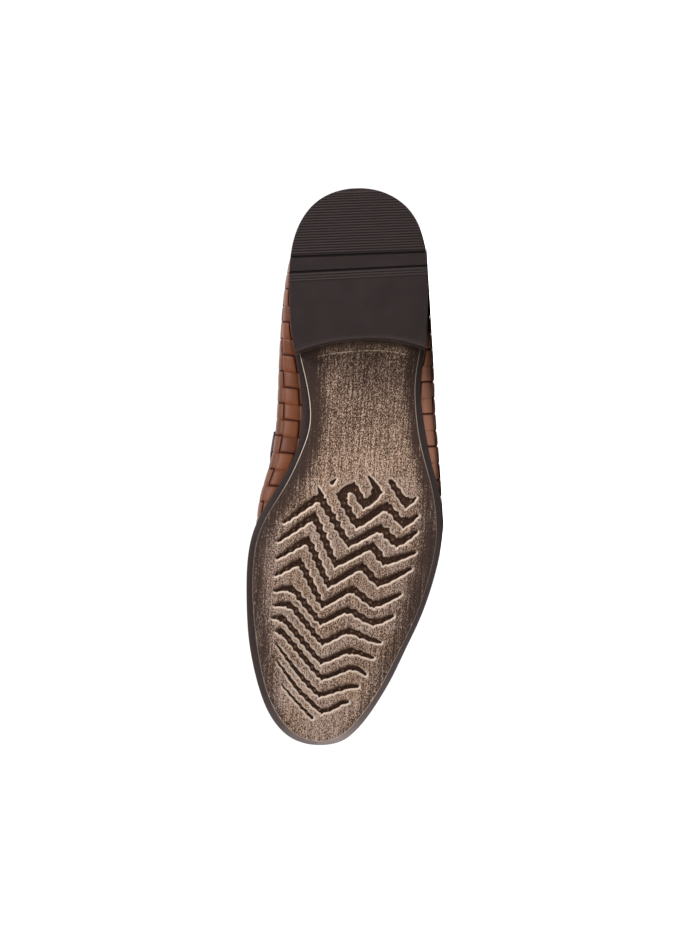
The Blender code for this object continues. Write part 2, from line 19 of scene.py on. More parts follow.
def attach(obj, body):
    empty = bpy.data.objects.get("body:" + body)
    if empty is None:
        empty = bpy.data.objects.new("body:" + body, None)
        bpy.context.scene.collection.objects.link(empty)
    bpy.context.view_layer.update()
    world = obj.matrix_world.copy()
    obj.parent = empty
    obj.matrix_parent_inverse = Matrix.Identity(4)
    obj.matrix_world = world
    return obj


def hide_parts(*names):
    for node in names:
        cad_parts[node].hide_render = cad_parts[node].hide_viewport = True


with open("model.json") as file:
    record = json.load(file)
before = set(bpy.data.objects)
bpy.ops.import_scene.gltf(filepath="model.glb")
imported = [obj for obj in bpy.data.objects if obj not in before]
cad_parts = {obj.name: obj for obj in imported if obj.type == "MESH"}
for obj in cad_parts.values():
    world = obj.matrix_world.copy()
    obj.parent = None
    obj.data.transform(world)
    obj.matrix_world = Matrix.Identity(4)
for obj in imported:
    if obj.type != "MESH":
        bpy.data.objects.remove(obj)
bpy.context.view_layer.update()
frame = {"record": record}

MM = 0.001

# The two mounts, as the standing shoe has them.
HEEL_SPOT = Vector((65.0, -6.0, 0.0))
FOREFOOT_SPOT = Vector((205.0, 35.5, 0.0))

# ---- The shoe's driving lines: its solids' own, but for a slightly rounder heel

# Plan lines, each from a back end to a front end. Columns: x, medial reach, lateral reach.
SOLE_EDGE_ENDS = ((0.0, -4.5), (302.0, 2.0))
SOLE_EDGE = (
    (2.0, 8.9, -16.4), (10.0, 22.2, -29.2), (20.0, 29.0, -35.9), (35.0, 33.0, -40.5),
    (50.0, 33.3, -42.2), (65.0, 32.1, -42.9), (80.0, 30.0, -43.1), (100.0, 25.0, -42.4),
    (115.0, 22.1, -43.7), (130.0, 21.3, -46.9), (145.0, 23.7, -50.8), (160.0, 29.9, -55.8),
    (170.0, 35.2, -58.2), (180.0, 40.1, -58.9), (190.0, 43.3, -58.4), (202.0, 44.8, -56.7),
    (216.0, 44.6, -53.6), (230.0, 43.5, -49.4), (245.0, 41.6, -43.6), (260.0, 38.2, -37.8),
    (275.0, 33.3, -30.7), (285.0, 28.6, -25.0), (293.0, 22.7, -19.1), (299.0, 15.0, -12.0),
)
TREAD_FACE_ENDS = ((1.6, -3.0), (299.3, 1.0))
TREAD_FACE = (
    (20.0, 27.2, -34.2), (50.0, 31.6, -40.6), (80.0, 28.0, -41.0), (100.0, 21.9, -39.2),
    (115.0, 17.9, -40.2), (130.0, 16.8, -42.8), (145.0, 20.5, -47.1), (160.0, 26.2, -51.9),
    (170.0, 31.2, -53.9), (180.0, 36.3, -55.2), (190.0, 39.8, -55.1), (202.0, 41.3, -53.6),
    (216.0, 41.1, -50.5), (230.0, 39.7, -46.4), (245.0, 37.3, -40.5), (260.0, 34.0, -34.3),
    (275.0, 29.2, -27.1), (285.0, 23.9, -20.8), (293.0, 17.1, -14.3),
)
FEATHER_ENDS = ((4.5, -3.0), (298.3, 2.0))
FEATHER = (
    (12.0, 21.5, -28.3), (22.0, 28.0, -34.8), (35.0, 31.4, -38.9), (50.0, 31.8, -40.6),
    (65.0, 30.6, -41.3), (80.0, 28.5, -41.5), (95.0, 24.7, -41.3), (110.0, 21.5, -41.9),
    (125.0, 20.2, -44.4), (140.0, 21.2, -48.0), (155.0, 26.0, -52.6), (170.0, 33.0, -55.4),
    (185.0, 39.0, -55.5), (200.0, 41.2, -53.6), (215.0, 41.1, -50.3), (230.0, 40.0, -46.0),
    (245.0, 38.0, -40.3), (260.0, 34.6, -34.4), (275.0, 29.3, -27.4), (287.0, 22.2, -19.4),
    (294.5, 14.2, -10.9),
)
WIDEST_ENDS = ((2.2, -3.0), (299.6, 2.0))
WIDEST = (
    (10.0, 20.5, -27.6), (20.0, 29.5, -36.8), (35.0, 34.8, -42.2), (50.0, 36.7, -44.5),
    (65.0, 37.4, -45.8), (80.0, 37.4, -46.8), (95.0, 37.1, -48.2), (110.0, 36.4, -50.2),
    (125.0, 35.9, -52.4), (140.0, 36.2, -54.8), (155.0, 38.5, -56.6), (170.0, 41.6, -57.2),
    (185.0, 42.5, -56.8), (200.0, 43.2, -55.2), (215.0, 43.1, -52.0), (230.0, 42.1, -47.8),
    (245.0, 39.9, -42.2), (260.0, 36.6, -36.2), (275.0, 31.3, -29.4), (287.0, 24.4, -21.4),
    (295.0, 15.9, -12.5),
)

# The widest line from the side. Columns: x, height.
WIDEST_HEIGHT = (
    (2.2, 46.0), (40.0, 47.0), (75.0, 44.5), (100.0, 39.0), (125.0, 31.8), (150.0, 25.6),
    (175.0, 21.0), (200.0, 19.0), (225.0, 18.6), (250.0, 19.4), (275.0, 21.4), (299.6, 24.0),
)

# How fully the upper bulges below its widest line: the power of that curve.
BELLY = 2.3

# The ridge over the foot. Columns: x, side shift, height, fullness of the crown.
RIDGE = (
    (15.0, -3.0, 97.0, 0.00), (50.0, -3.8, 97.0, 0.00), (80.0, -4.6, 95.0, 0.00),
    (104.0, -5.0, 91.0, -0.02), (125.0, -4.6, 85.0, -0.06), (146.0, -3.4, 77.2, -0.06),
    (168.0, -1.8, 68.0, -0.01), (190.0, -0.2, 59.4, 0.07), (212.0, 1.0, 51.8, 0.15),
    (235.0, 1.7, 45.2, 0.22), (258.0, 2.0, 39.2, 0.27), (277.0, 2.0, 34.6, 0.28),
)

# The sole from the side. Columns: x, underside height, thickness.
SOLE_PROFILE = (
    (0.0, 19.2, 5.2), (92.0, 19.2, 5.2), (101.0, 18.5, 5.1), (113.0, 16.4, 4.9),
    (130.0, 12.6, 4.7), (150.0, 7.2, 4.9), (170.0, 2.6, 5.5), (185.0, 0.6, 5.8),
    (196.0, 0.0, 5.9), (214.0, 0.0, 5.9), (232.0, 0.7, 5.8), (255.0, 2.8, 5.6), (280.0, 6.2, 5.4),
    (302.0, 9.8, 5.2),
)
SEAT_GAP = 0.35

# The collar line behind the throat. Columns: x, height.
TOPLINE = (
    (2.2, 86.5), (18.0, 84.0), (40.0, 77.0), (60.0, 72.8), (80.0, 71.0), (104.0, 71.4),
)
THROAT_START_X = 104.0
THROAT_X = 143.0


def flowing_curve(xs, ys):
    """A natural cubic spline through the points."""
    xs = np.array(xs, dtype=float)
    ys = np.array(ys, dtype=float)
    steps = np.diff(xs)
    count = len(xs)
    system = np.eye(count)
    right = np.zeros(count)
    for i in range(1, count - 1):
        system[i, i - 1:i + 2] = (steps[i - 1], 2 * (steps[i - 1] + steps[i]), steps[i])
        right[i] = 6 * ((ys[i + 1] - ys[i]) / steps[i] - (ys[i] - ys[i - 1]) / steps[i - 1])
    bends = np.linalg.solve(system, right)

    def value(x):
        i = np.clip(np.searchsorted(xs, x) - 1, 0, count - 2)
        h = steps[i]
        a, b = (xs[i + 1] - x) / h, (x - xs[i]) / h
        curve = ((a ** 3 - a) * bends[i] + (b ** 3 - b) * bends[i + 1]) * h * h / 6
        return a * ys[i] + b * ys[i + 1] + curve

    return value


def smooth_curve(xs, ys):
    """A curve through the points that keeps their rises and falls, with no overshoot."""
    xs = np.array(xs, dtype=float)
    ys = np.array(ys, dtype=float)
    steps = np.diff(xs)
    slopes = np.diff(ys) / steps
    tangents = np.empty(len(xs))
    tangents[0] = slopes[0]
    tangents[-1] = slopes[-1]
    for i in range(1, len(xs) - 1):
        before, after = slopes[i - 1], slopes[i]
        if before * after <= 0.0:
            tangents[i] = 0.0
        else:
            near, far = 2 * steps[i] + steps[i - 1], steps[i] + 2 * steps[i - 1]
            tangents[i] = (near + far) / (near / before + far / after)

    def value(x):
        i = np.clip(np.searchsorted(xs, x) - 1, 0, len(steps) - 1)
        t = np.clip((x - xs[i]) / steps[i], 0.0, 1.0)
        start = ys[i] * (1 + 2 * t) * (1 - t) ** 2 + steps[i] * tangents[i] * t * (1 - t) ** 2
        end = ys[i + 1] * t * t * (3 - 2 * t) - steps[i] * tangents[i + 1] * t * t * (1 - t)
        return start + end

    return value


def curve_from(table, column=1, kind=flowing_curve):
    """A curve through a column of a table, over its first column."""
    return kind([row[0] for row in table], [row[column] for row in table])


def read(table, x, column=1):
    """A column of a table at x, straight between its rows and level past its ends."""
    return np.interp(x, [row[0] for row in table], [row[column] for row in table])


def smoothstep(low, high, value):
    t = np.clip((value - low) / (high - low), 0.0, 1.0)
    return t * t * (3 - 2 * t)


def between(back, front, station):
    """From back to front by station, with the ends drawn close together."""
    return back + (front - back) * (1 - np.cos(math.pi * station)) / 2


def unit(vectors):
    return vectors / np.linalg.norm(vectors, axis=-1, keepdims=True)


def left_of(line):
    """The plan direction square to a line of points, on its left."""
    ahead = unit(np.gradient(line, axis=0))
    return np.stack((-ahead[:, 1], ahead[:, 0]), axis=1)


def run_along(line):
    """How far each point of a line lies from its first, along it."""
    steps = np.linalg.norm(np.diff(line, axis=0), axis=1)
    return np.concatenate(([0.0], np.cumsum(steps)))


def resampled(line, run, wanted):
    """The columns of a line at the wanted runs."""
    return np.stack([np.interp(wanted, run, column) for column in line.T], axis=1)


class Outline:
    """A closed plan line. Station 0 is its back end and station 1 its front end."""

    def __init__(self, ends, rows):
        (self.back_x, back_y), (self.front_x, front_y) = ends
        stations = [0.0] + [float(self.station(row[0])) for row in rows] + [1.0]
        self.medial = flowing_curve(stations, [back_y] + [row[1] for row in rows] + [front_y])
        self.lateral = flowing_curve(stations, [back_y] + [row[2] for row in rows] + [front_y])

    def station(self, x):
        share = (np.asarray(x, dtype=float) - self.back_x) / (self.front_x - self.back_x)
        return np.arccos(1 - 2 * np.clip(share, 0.0, 1.0)) / math.pi

    def x(self, station):
        return between(self.back_x, self.front_x, station)

    def reach(self, station, side):
        return np.where(side > 0, self.medial(station), self.lateral(station))

    def line(self, stations, side):
        """The plan points of one side."""
        return np.stack((self.x(stations), self.reach(stations, side)), axis=1)


sole_edge = Outline(SOLE_EDGE_ENDS, SOLE_EDGE)
tread_face = Outline(TREAD_FACE_ENDS, TREAD_FACE)
feather = Outline(FEATHER_ENDS, FEATHER)
widest = Outline(WIDEST_ENDS, WIDEST)
sole_underside = curve_from(SOLE_PROFILE, 1, smooth_curve)
sole_thickness = curve_from(SOLE_PROFILE, 2, smooth_curve)
topline_height = curve_from(TOPLINE, 1, smooth_curve)
widest_height = curve_from(WIDEST_HEIGHT)
ridge_shift = curve_from(RIDGE, 1)
ridge_height = curve_from(RIDGE, 2)
crown_fullness = curve_from(RIDGE, 3)


def sole_top(x):
    return sole_underside(x) + sole_thickness(x)


def ridge_x(station):
    return between(RIDGE[0][0], RIDGE[-1][0], station)


def upper_point(station, girth):
    """Points of the upper's outer face. Girth is 0 on the ridge, plus or minus 1 on the
    widest line and plus or minus 2 on the feather line, with plus for the medial side."""
    station, girth = np.broadcast_arrays(np.asarray(station, float), np.asarray(girth, float))
    rise = 1 - np.clip(np.abs(girth), 0.0, 2.0)
    side = np.where(girth >= 0, 1, -1)
    turn = np.abs(rise) * math.pi / 2
    sine, cosine = np.sin(turn), np.maximum(np.cos(turn), 0.0)
    wide_x = widest.x(station)
    wide_y = widest.reach(station, side)
    wide_z = widest_height(wide_x)
    foot_x = feather.x(station)
    foot_y = feather.reach(station, side)
    foot_z = sole_top(foot_x) + SEAT_GAP
    spread, drop = cosine ** (2 / BELLY), sine ** (2 / BELLY)
    low = np.stack((
        foot_x + (wide_x - foot_x) * spread,
        foot_y + (wide_y - foot_y) * spread,
        wide_z + (foot_z - wide_z) * drop,
    ), axis=-1)
    top_x = ridge_x(station)
    centre_y = ridge_shift(top_x)
    high = np.stack((
        wide_x + (top_x - wide_x) * sine ** 2,
        centre_y + (wide_y - centre_y) * cosine * (1 + crown_fullness(top_x) * sine ** 2),
        wide_z + (ridge_height(top_x) - wide_z) * sine,
    ), axis=-1)
    return np.where((rise < 0)[..., None], low, high)


THROAT_START = float(widest.station(THROAT_START_X))
THROAT_END = float(widest.station(THROAT_X))


def collar_girth(station):
    """The girth of the collar's edge: 0, the ridge itself, ahead of the throat."""
    station = np.asarray(station, dtype=float)
    behind = np.minimum(station, THROAT_START)
    low = widest_height(widest.x(behind))
    share = (topline_height(widest.x(behind)) - low) / (ridge_height(ridge_x(behind)) - low)
    rise = np.arcsin(share) / (math.pi / 2)
    along = np.clip((station - THROAT_START) / (THROAT_END - THROAT_START), 0.0, 1.0)
    return (1 - rise) * np.sqrt(1 - along ** 2)


# ---- Meshes

def standing_frame(record):
    """The matrix from the standing shoe, in metres, to where it rests."""
    mounts = {mount["name"]: mount for mount in record["mounts"]}
    heel = Vector(mounts["heel_tread"]["pos_m"])
    run = Vector(mounts["forefoot_tread"]["pos_m"]) - heel
    up = -Vector(mounts["heel_tread"]["axis"]).normalized()
    run = (run - up * run.dot(up)).normalized()
    plan = (FOREFOOT_SPOT - HEEL_SPOT).normalized()
    to_toe = run * plan.x - up.cross(run) * plan.y
    turn = Matrix((to_toe, up.cross(to_toe), up)).transposed()
    return Matrix.Translation(heel - turn @ (HEEL_SPOT * MM)) @ turn.to_4x4()


RESTING = standing_frame(frame["record"])


def at_rest(points):
    """Points of the standing shoe, in millimetres, as world points in metres."""
    turn = np.array(RESTING.to_3x3())
    return np.asarray(points) * MM @ turn.T + np.array(RESTING.translation)


WELD_DISTANCE = 1e-6
SHORTEST_EDGE = 1e-7


def joined(shapes):
    """Several (points, faces, values) as one. Values are columns of numbers per point."""
    points, faces, values, first = [], [], {}, 0
    for shape_points, shape_faces, shape_values in shapes:
        points.append(shape_points)
        faces += [tuple(first + i for i in face) for face in shape_faces]
        for name, column in shape_values.items():
            values.setdefault(name, []).append(column)
        first += len(shape_points)
    return np.vstack(points), faces, {name: np.concatenate(c) for name, c in values.items()}


def add_piece(name, shape, material, replaced=(), sharp_degrees=None):
    """A smooth-shaded piece of the shoe from (points, faces, values)."""
    points, faces, values = shape
    mesh = bpy.data.meshes.new(name)
    resting = at_rest(points)
    resting[:, 2] = np.maximum(resting[:, 2], 0.0)  # nothing sinks into the floor
    mesh.from_pydata(resting.tolist(), [], faces)
    columns = {"place": np.asarray(points, dtype=float), **values}
    for column, numbers in columns.items():
        kind = "FLOAT_VECTOR" if numbers.ndim == 2 else "FLOAT"
        attribute = mesh.attributes.new(column, kind, "POINT")
        field = "vector" if numbers.ndim == 2 else "value"
        attribute.data.foreach_set(field, numbers.astype(np.float32).ravel())
    shaped = bmesh.new()
    shaped.from_mesh(mesh)
    bmesh.ops.remove_doubles(shaped, verts=shaped.verts[:], dist=WELD_DISTANCE)
    bmesh.ops.dissolve_degenerate(shaped, edges=shaped.edges[:], dist=SHORTEST_EDGE)
    bmesh.ops.recalc_face_normals(shaped, faces=shaped.faces[:])
    shaped.to_mesh(mesh)
    shaped.free()
    mesh.shade_smooth()
    if sharp_degrees:
        mesh.set_sharp_from_angle(angle=math.radians(sharp_degrees))
    mesh.materials.append(material)
    piece = bpy.data.objects.new(name, mesh)
    bpy.context.scene.collection.objects.link(piece)
    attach(piece, "root")
    if replaced:
        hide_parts(*replaced)


def grid_faces(rows, columns, first=0, close_rows=False, close_columns=False):
    """Quads over a grid of points held row by row."""
    faces = []
    for i in range(rows if close_rows else rows - 1):
        for k in range(columns if close_columns else columns - 1):
            a, b = first + i * columns, first + (i + 1) % rows * columns
            j = (k + 1) % columns
            faces.append((a + k, a + j, b + j, b + k))
    return faces


def tube(grid, values):
    """A closed body from rings of points, rows by ring, with a cap at each end."""
    rows, columns = grid.shape[:2]
    faces = grid_faces(rows, columns, close_columns=True)
    faces.append(tuple(range(columns))[::-1])
    faces.append(tuple(range((rows - 1) * columns, rows * columns)))
    flat = {name: v.reshape(-1, 3) if v.ndim == 3 else v.ravel() for name, v in values.items()}
    return grid.reshape(-1, 3), faces, flat


# ---- The upper laid flat, so that what is woven or sewn on it keeps its size

SHEET_STATIONS = 301
SHEET_GIRTHS = 81
SHEET_HEM = 14.0
BACK_MARGIN = 0.01
FAN_DELAY = 1.35


class Sheet:
    """One side of the upper as a flat sheet of millimetres. Flat x is 0 at the throat and
    grows toewards; flat y is 0 on the vamp's ridge and grows to the medial side. Ahead of
    the throat the sheet is draped over the ridge; behind it, wrapped round the heel."""

    def __init__(self, side):
        self.side = side
        stations = np.linspace(0.0, 1.0, SHEET_STATIONS)
        shares = np.linspace(0.0, 2.0, SHEET_GIRTHS)
        self.points = upper_point(stations[:, None], side * shares[None, :])
        self.normals = self.find_normals()
        across = np.linalg.norm(np.diff(self.points, axis=1), axis=2)
        arc = np.hstack((np.zeros((SHEET_STATIONS, 1)), np.cumsum(across, axis=1)))
        middle = SHEET_GIRTHS // 2
        split = int(np.searchsorted(stations, THROAT_END))
        ridge_run, widest_run = (run_along(self.points[:, k]) for k in (0, middle))
        ridge_run, self.widest_run = ridge_run - ridge_run[split], widest_run - widest_run[split]
        lean = self.fan(stations, split)[:, None]
        ahead = (stations > stations[split])[:, None]
        draped = ridge_run[:, None] + arc * np.sin(lean)
        wrapped = arc - arc[:, middle, None] + arc[split, middle]
        flat_x = np.where(ahead, draped, self.widest_run[:, None])
        flat_y = np.where(ahead, arc * np.cos(lean), wrapped)
        self.widest_y = float(arc[split, middle])
        self.back_x = float(self.widest_run[0])
        self.stations = stations
        self.shares = shares
        self.flat = np.stack((flat_x, side * flat_y), axis=-1)
        self.build_finder()

    @staticmethod
    def fan(stations, split):
        """How far each station's line turns toewards on the sheet: a right angle at the tip."""
        ahead = widest.x(stations) - ridge_x(stations)
        half = (widest.medial(stations) - widest.lateral(stations)) / 2
        lean = np.arctan2(ahead, np.maximum(half, 1e-6))
        share = np.clip((lean - lean[split]) / (math.pi / 2 - lean[split]), 0, 1)
        return share ** FAN_DELAY * math.pi / 2

    def find_normals(self):
        along = np.gradient(self.points, axis=0)
        across = np.gradient(self.points, axis=1) * self.side
        normals = np.cross(along, across)
        lengths = np.linalg.norm(normals, axis=2, keepdims=True)
        normals /= np.maximum(lengths, 1e-12)
        normals[-1, :3] = normals[-2, :3]  # the ridge has none of its own at the toe's tip
        return normals

    def build_finder(self):
        """A search tree over the flat sheet, with a hem past the feather line."""
        hem = self.flat[:, -1] + unit(self.flat[:, -1] - self.flat[:, -2]) * SHEET_HEM
        flat = np.concatenate((self.flat, hem[:, None]), axis=1)
        columns = SHEET_GIRTHS + 1
        girths = np.append(self.shares, self.shares[-1])
        grid = np.stack(np.meshgrid(self.stations, girths, indexing="ij"), axis=-1)
        quads = np.array(grid_faces(SHEET_STATIONS, columns))
        self.triangles = np.vstack((quads[:, [0, 1, 2]], quads[:, [0, 2, 3]]))
        self.flat_points = flat.reshape(-1, 2)
        self.places = grid.reshape(-1, 2)
        solid = [(x, y, 0.0) for x, y in self.flat_points.tolist()]
        self.tree = BVHTree.FromPolygons(solid, self.triangles.tolist())

    def find(self, flat):
        """The (station, share) of flat points, nan where they miss the sheet."""
        found = np.full((len(flat), 2), np.nan)
        hits = []
        for n, (x, y) in enumerate(flat.tolist()):
            hit = self.tree.ray_cast((x, y, 1.0), (0.0, 0.0, -1.0))
            if hit[2] is not None:
                hits.append((n, hit[2]))
        if not hits:
            return found
        which, faces = np.array(hits).T
        a, b, c = (self.flat_points[self.triangles[faces, i]] for i in range(3))
        ab, ac, ap = b - a, c - a, flat[which] - a
        area = ab[:, 0] * ac[:, 1] - ab[:, 1] * ac[:, 0]
        v = (ap[:, 0] * ac[:, 1] - ap[:, 1] * ac[:, 0]) / area
        w = (ab[:, 0] * ap[:, 1] - ab[:, 1] * ap[:, 0]) / area
        weights = np.stack((1 - v - w, v, w), axis=1)[:, :, None]
        corners = np.stack([self.places[self.triangles[faces, i]] for i in range(3)], axis=1)
        found[which] = (weights * corners).sum(axis=1)
        return found

    def sample(self, grid, station, share):
        """A column of the sheet's grid between its rows and columns."""
        i = np.clip(station * (SHEET_STATIONS - 1), 0, SHEET_STATIONS - 1.001)
        k = np.clip(share / 2 * (SHEET_GIRTHS - 1), 0, SHEET_GIRTHS - 1.001)
        i0, k0 = i.astype(int), k.astype(int)
        u, v = (i - i0)[..., None], (k - k0)[..., None]
        near = grid[i0, k0] * (1 - u) + grid[i0 + 1, k0] * u
        far = grid[i0, k0 + 1] * (1 - u) + grid[i0 + 1, k0 + 1] * u
        return near * (1 - v) + far * v

    def lift(self, station, share, height):
        """Points on the upper, raised by a height along its outward normal."""
        normal = unit(self.sample(self.normals, station, share))
        return upper_point(station, self.side * share) + normal * np.asarray(height)[..., None]


SHEETS = {1: Sheet(1), -1: Sheet(-1)}


def find_places(flat):
    """(station, signed girth) of flat points on either side; nan where they miss."""
    places = np.full((len(flat), 2), np.nan)
    for side, sheet in SHEETS.items():
        mine = np.nonzero((flat[:, 1] >= 0) == (side > 0))[0]
        wanted = flat[mine].copy()
        wanted[:, 0] = np.maximum(wanted[:, 0], sheet.back_x + BACK_MARGIN)
        found = sheet.find(wanted)
        places[mine] = found * (1, side)
    return places


# The soft creases where the vamp bends. Columns: x on the ridge, how far its ends lie
# back, signed girths of its two ends, depth and half its width.
CREASES = (
    (187.0, 10.0, -0.62, 0.70, 0.75, 3.4), (197.5, 12.0, -0.95, 0.55, 0.60, 3.0),
    (206.0, 11.0, -0.48, 0.82, 0.50, 2.8), (180.0, 8.0, -0.30, 0.45, 0.35, 2.6),
)


def crease_depth(places):
    """How far the upper is pressed in at (station, signed girth)."""
    girth = places[:, 1]
    x = ridge_x(places[:, 0])
    depth = np.zeros(len(places))
    for middle, back, low, high, deepest, width in CREASES:
        along = (girth - low) / (high - low)
        fade = smoothstep(0.0, 0.3, along) * smoothstep(1.0, 0.7, along)
        bend = middle - back * (2 * along - 1) ** 2
        depth += deepest * fade * np.exp(-((x - bend) / width) ** 2)
    return depth


# How far the lateral quarter swells past the last, about a signed girth. Columns: x, swell.
LATERAL_SWELL = (
    (28, 0.0), (48, 0.1), (60, 0.4), (74, 1.2), (86, 1.9), (96, 1.85), (106, 1.5), (116, 1.15),
    (126, 0.8), (138, 0.45), (150, 0.4), (160, 0.7), (170, 1.1), (182, 1.5), (196, 1.0), (215, 0.0),
)
SWELL_GIRTH = -1.05
SWELL_HALF_WIDTH = 0.42
swell_height = curve_from(LATERAL_SWELL)


def lateral_swell(places):
    x = np.clip(widest.x(places[:, 0]), LATERAL_SWELL[0][0], LATERAL_SWELL[-1][0])
    return swell_height(x) * np.exp(-((places[:, 1] - SWELL_GIRTH) / SWELL_HALF_WIDTH) ** 2)


def lifted(places, heights):
    """Points on the upper at (station, signed girth), raised by heights."""
    points = np.empty((len(places), 3))
    heights = heights - crease_depth(places) + lateral_swell(places)
    for side, sheet in SHEETS.items():
        mine = (places[:, 1] >= 0) == (side > 0)
        points[mine] = sheet.lift(places[mine, 0], np.abs(places[mine, 1]), heights[mine])
    return points


# ---- The weave: flat strips, each passing over one and under one

STRIP_PITCH_ALONG = 9.35
STRIP_PITCH_ROUND = 9.62
STRIP_GAP = 0.12
STRIP_THICKNESS = 0.85
STRIP_STEP = 0.9
STRIP_SNAP = 2.6
WEAVE_SEED = 11
WEAVE_START_X = -17.5
WEAVE_ROW_SHIFT = 1.5
LIT_DIVE = 0.30
COLLAR_TUCK = 0.045
LAST_GIRTH = 1.999
SHORTEST_STRIP = 3
STRIP_SEED_STEP = 17.0
CROSSWISE_SEED = 50

# Across a strip. Columns: place across (-1 to 1), depth in thicknesses below its crest.
STRIP_SECTION = (
    (-0.94, 0.12), (-0.60, 0.03), (0.00, 0.00), (0.60, 0.03), (0.94, 0.12), (1.00, 0.55),
    (0.80, 1.00), (0.00, 1.00), (-0.80, 1.00), (-1.00, 0.55),
)


def weave_wave(phase):
    """1 where a strip is over and -1 where it is under, with quick turns between."""
    return np.tanh(STRIP_SNAP * np.cos(math.pi * phase)) / math.tanh(STRIP_SNAP)


def painted_light_share(places):
    """Where painted light lifts the lateral quarter's colour: low down beside the waist, where it
    lies near the floor and gets little light.
    """
    x = widest.x(places[..., 0])
    low = smoothstep(-0.7, -1.1, places[..., 1])
    return low * smoothstep(58.0, 80.0, x) * smoothstep(215.0, 185.0, x)


def strip_tubes(centres, sense, number, half_width, across_axis, randomness):
    """The tubes of one strip. Centres are flat points along its middle line, sense is 1
    where it is over, and across_axis is the flat direction over its width."""
    section = np.array(STRIP_SECTION)
    flat = centres[:, None, :] + section[None, :, :1] * half_width * np.array(across_axis)
    rows, columns = flat.shape[:2]
    places = find_places(flat.reshape(-1, 2))
    missed = np.isnan(places[:, 0])
    girth = np.abs(places[:, 1])
    edge = collar_girth(np.where(missed, 0.0, places[:, 0])) + COLLAR_TUCK
    open_vamp = places[:, 0] > THROAT_END
    outside = missed | ((girth < edge) & ~open_vamp) | (girth > LAST_GIRTH)
    clamped = np.clip(girth, np.where(open_vamp, 0.0, edge), LAST_GIRTH)
    places[:, 1] = np.where(places[:, 1] >= 0, clamped, -clamped)
    on_upper = ~outside.reshape(rows, columns).all(axis=1)
    kept = on_upper & ~missed.reshape(rows, columns).any(axis=1)
    round_shoe = across_axis[0] > 0
    even = np.ones(rows)
    sunk = (1 - sense) / 2
    away = np.sign(centres[:, 1]) if round_shoe else even
    # Painted shade on the dives: full where a strip comes out from under a neighbour's
    # shadow-casting edge, LIT_DIVE of it where it goes under a lit one.
    shade = np.where(np.gradient(sense) * away > 0, sunk, LIT_DIVE * sunk)
    # The darkened edge lies on each strip's side away from the light: a painted shadow line.
    shadow_side = even if round_shoe else np.sign(centres[:, 1])
    depth = (sunk[:, None] + section[None, :, 1]) * STRIP_THICKNESS
    places = places.reshape(rows, columns, 2)
    run = run_along(centres)
    tubes = []
    starts = np.nonzero(kept & ~np.concatenate(([False], kept[:-1])))[0]
    for start in starts:
        stop = start
        while stop < rows and kept[stop]:
            stop += 1
        if stop - start < SHORTEST_STRIP:
            continue
        part = slice(start, stop)
        ring = lifted(places[part].reshape(-1, 2), -depth[part].ravel())
        shape = (stop - start, columns)
        along = np.broadcast_to(run[part, None], shape)
        across = np.broadcast_to(section[None, :, 0] * half_width, shape)
        seed = np.full(shape, number * STRIP_SEED_STEP)
        tubes.append(tube(ring.reshape(*shape, 3), {
            "strip": np.stack((along, across, seed), axis=-1),
            "edge": np.maximum(section[None, :, 0] * shadow_side[part, None], 0.0),
            "under": np.broadcast_to(shade[part, None], shape),
            "pale": painted_light_share(places[part]),
            "tone": np.full(shape, randomness),
        }))
    return tubes


def strip_family(axis, runs, first_reach, last_reach, origin, first_sense, rng):
    """Every strip along one flat axis, 0 for x and 1 for y, as one shape. Origin is where a
    strip's edge lies on each axis, and the reaches are the sheet's ends across the strips."""
    across = 1 - axis
    pitch = (STRIP_PITCH_ALONG, STRIP_PITCH_ROUND)
    first = math.floor((first_reach - origin[across]) / pitch[across])
    last = math.ceil((last_reach - origin[across]) / pitch[across])
    wave = weave_wave((runs - origin[axis]) / pitch[axis] - 0.5)
    half = (pitch[across] - STRIP_GAP) / 2
    tubes = []
    for number in range(first, last):
        centres = np.empty((len(runs), 2))
        centres[:, axis] = runs
        centres[:, across] = origin[across] + (number + 0.5) * pitch[across]
        sense = first_sense * (-1) ** number * wave
        seed = number + CROSSWISE_SEED * axis
        tubes += strip_tubes(centres, sense, seed, half, (axis, across), rng.random())
    return joined(tubes)


def weave():
    """The strips that run along the shoe, and those that go round it."""
    rng = np.random.default_rng(WEAVE_SEED)
    origin = (WEAVE_START_X, SHEETS[1].widest_y + WEAVE_ROW_SHIFT)
    front_x = max(sheet.flat[..., 0].max() for sheet in SHEETS.values())
    back_x = min(sheet.back_x for sheet in SHEETS.values())
    medial, lateral = (np.abs(SHEETS[side].flat[..., 1]).max() for side in (1, -1))
    runs = np.arange(back_x, front_x, STRIP_STEP)
    lengthwise = strip_family(0, runs, -lateral, medial, origin, -1, rng)
    runs = np.arange(-lateral - 1, medial + 1, STRIP_STEP)
    crosswise = strip_family(1, runs, back_x, front_x, origin, 1, rng)
    return lengthwise, crosswise


# ---- Lining, collar, backstay and strap

LINING_OUTER = 1.82
LINING_INNER = 2.45
LINING_STATIONS = 130
LINING_STEPS = 34
LINING_GIRTH = 1.995


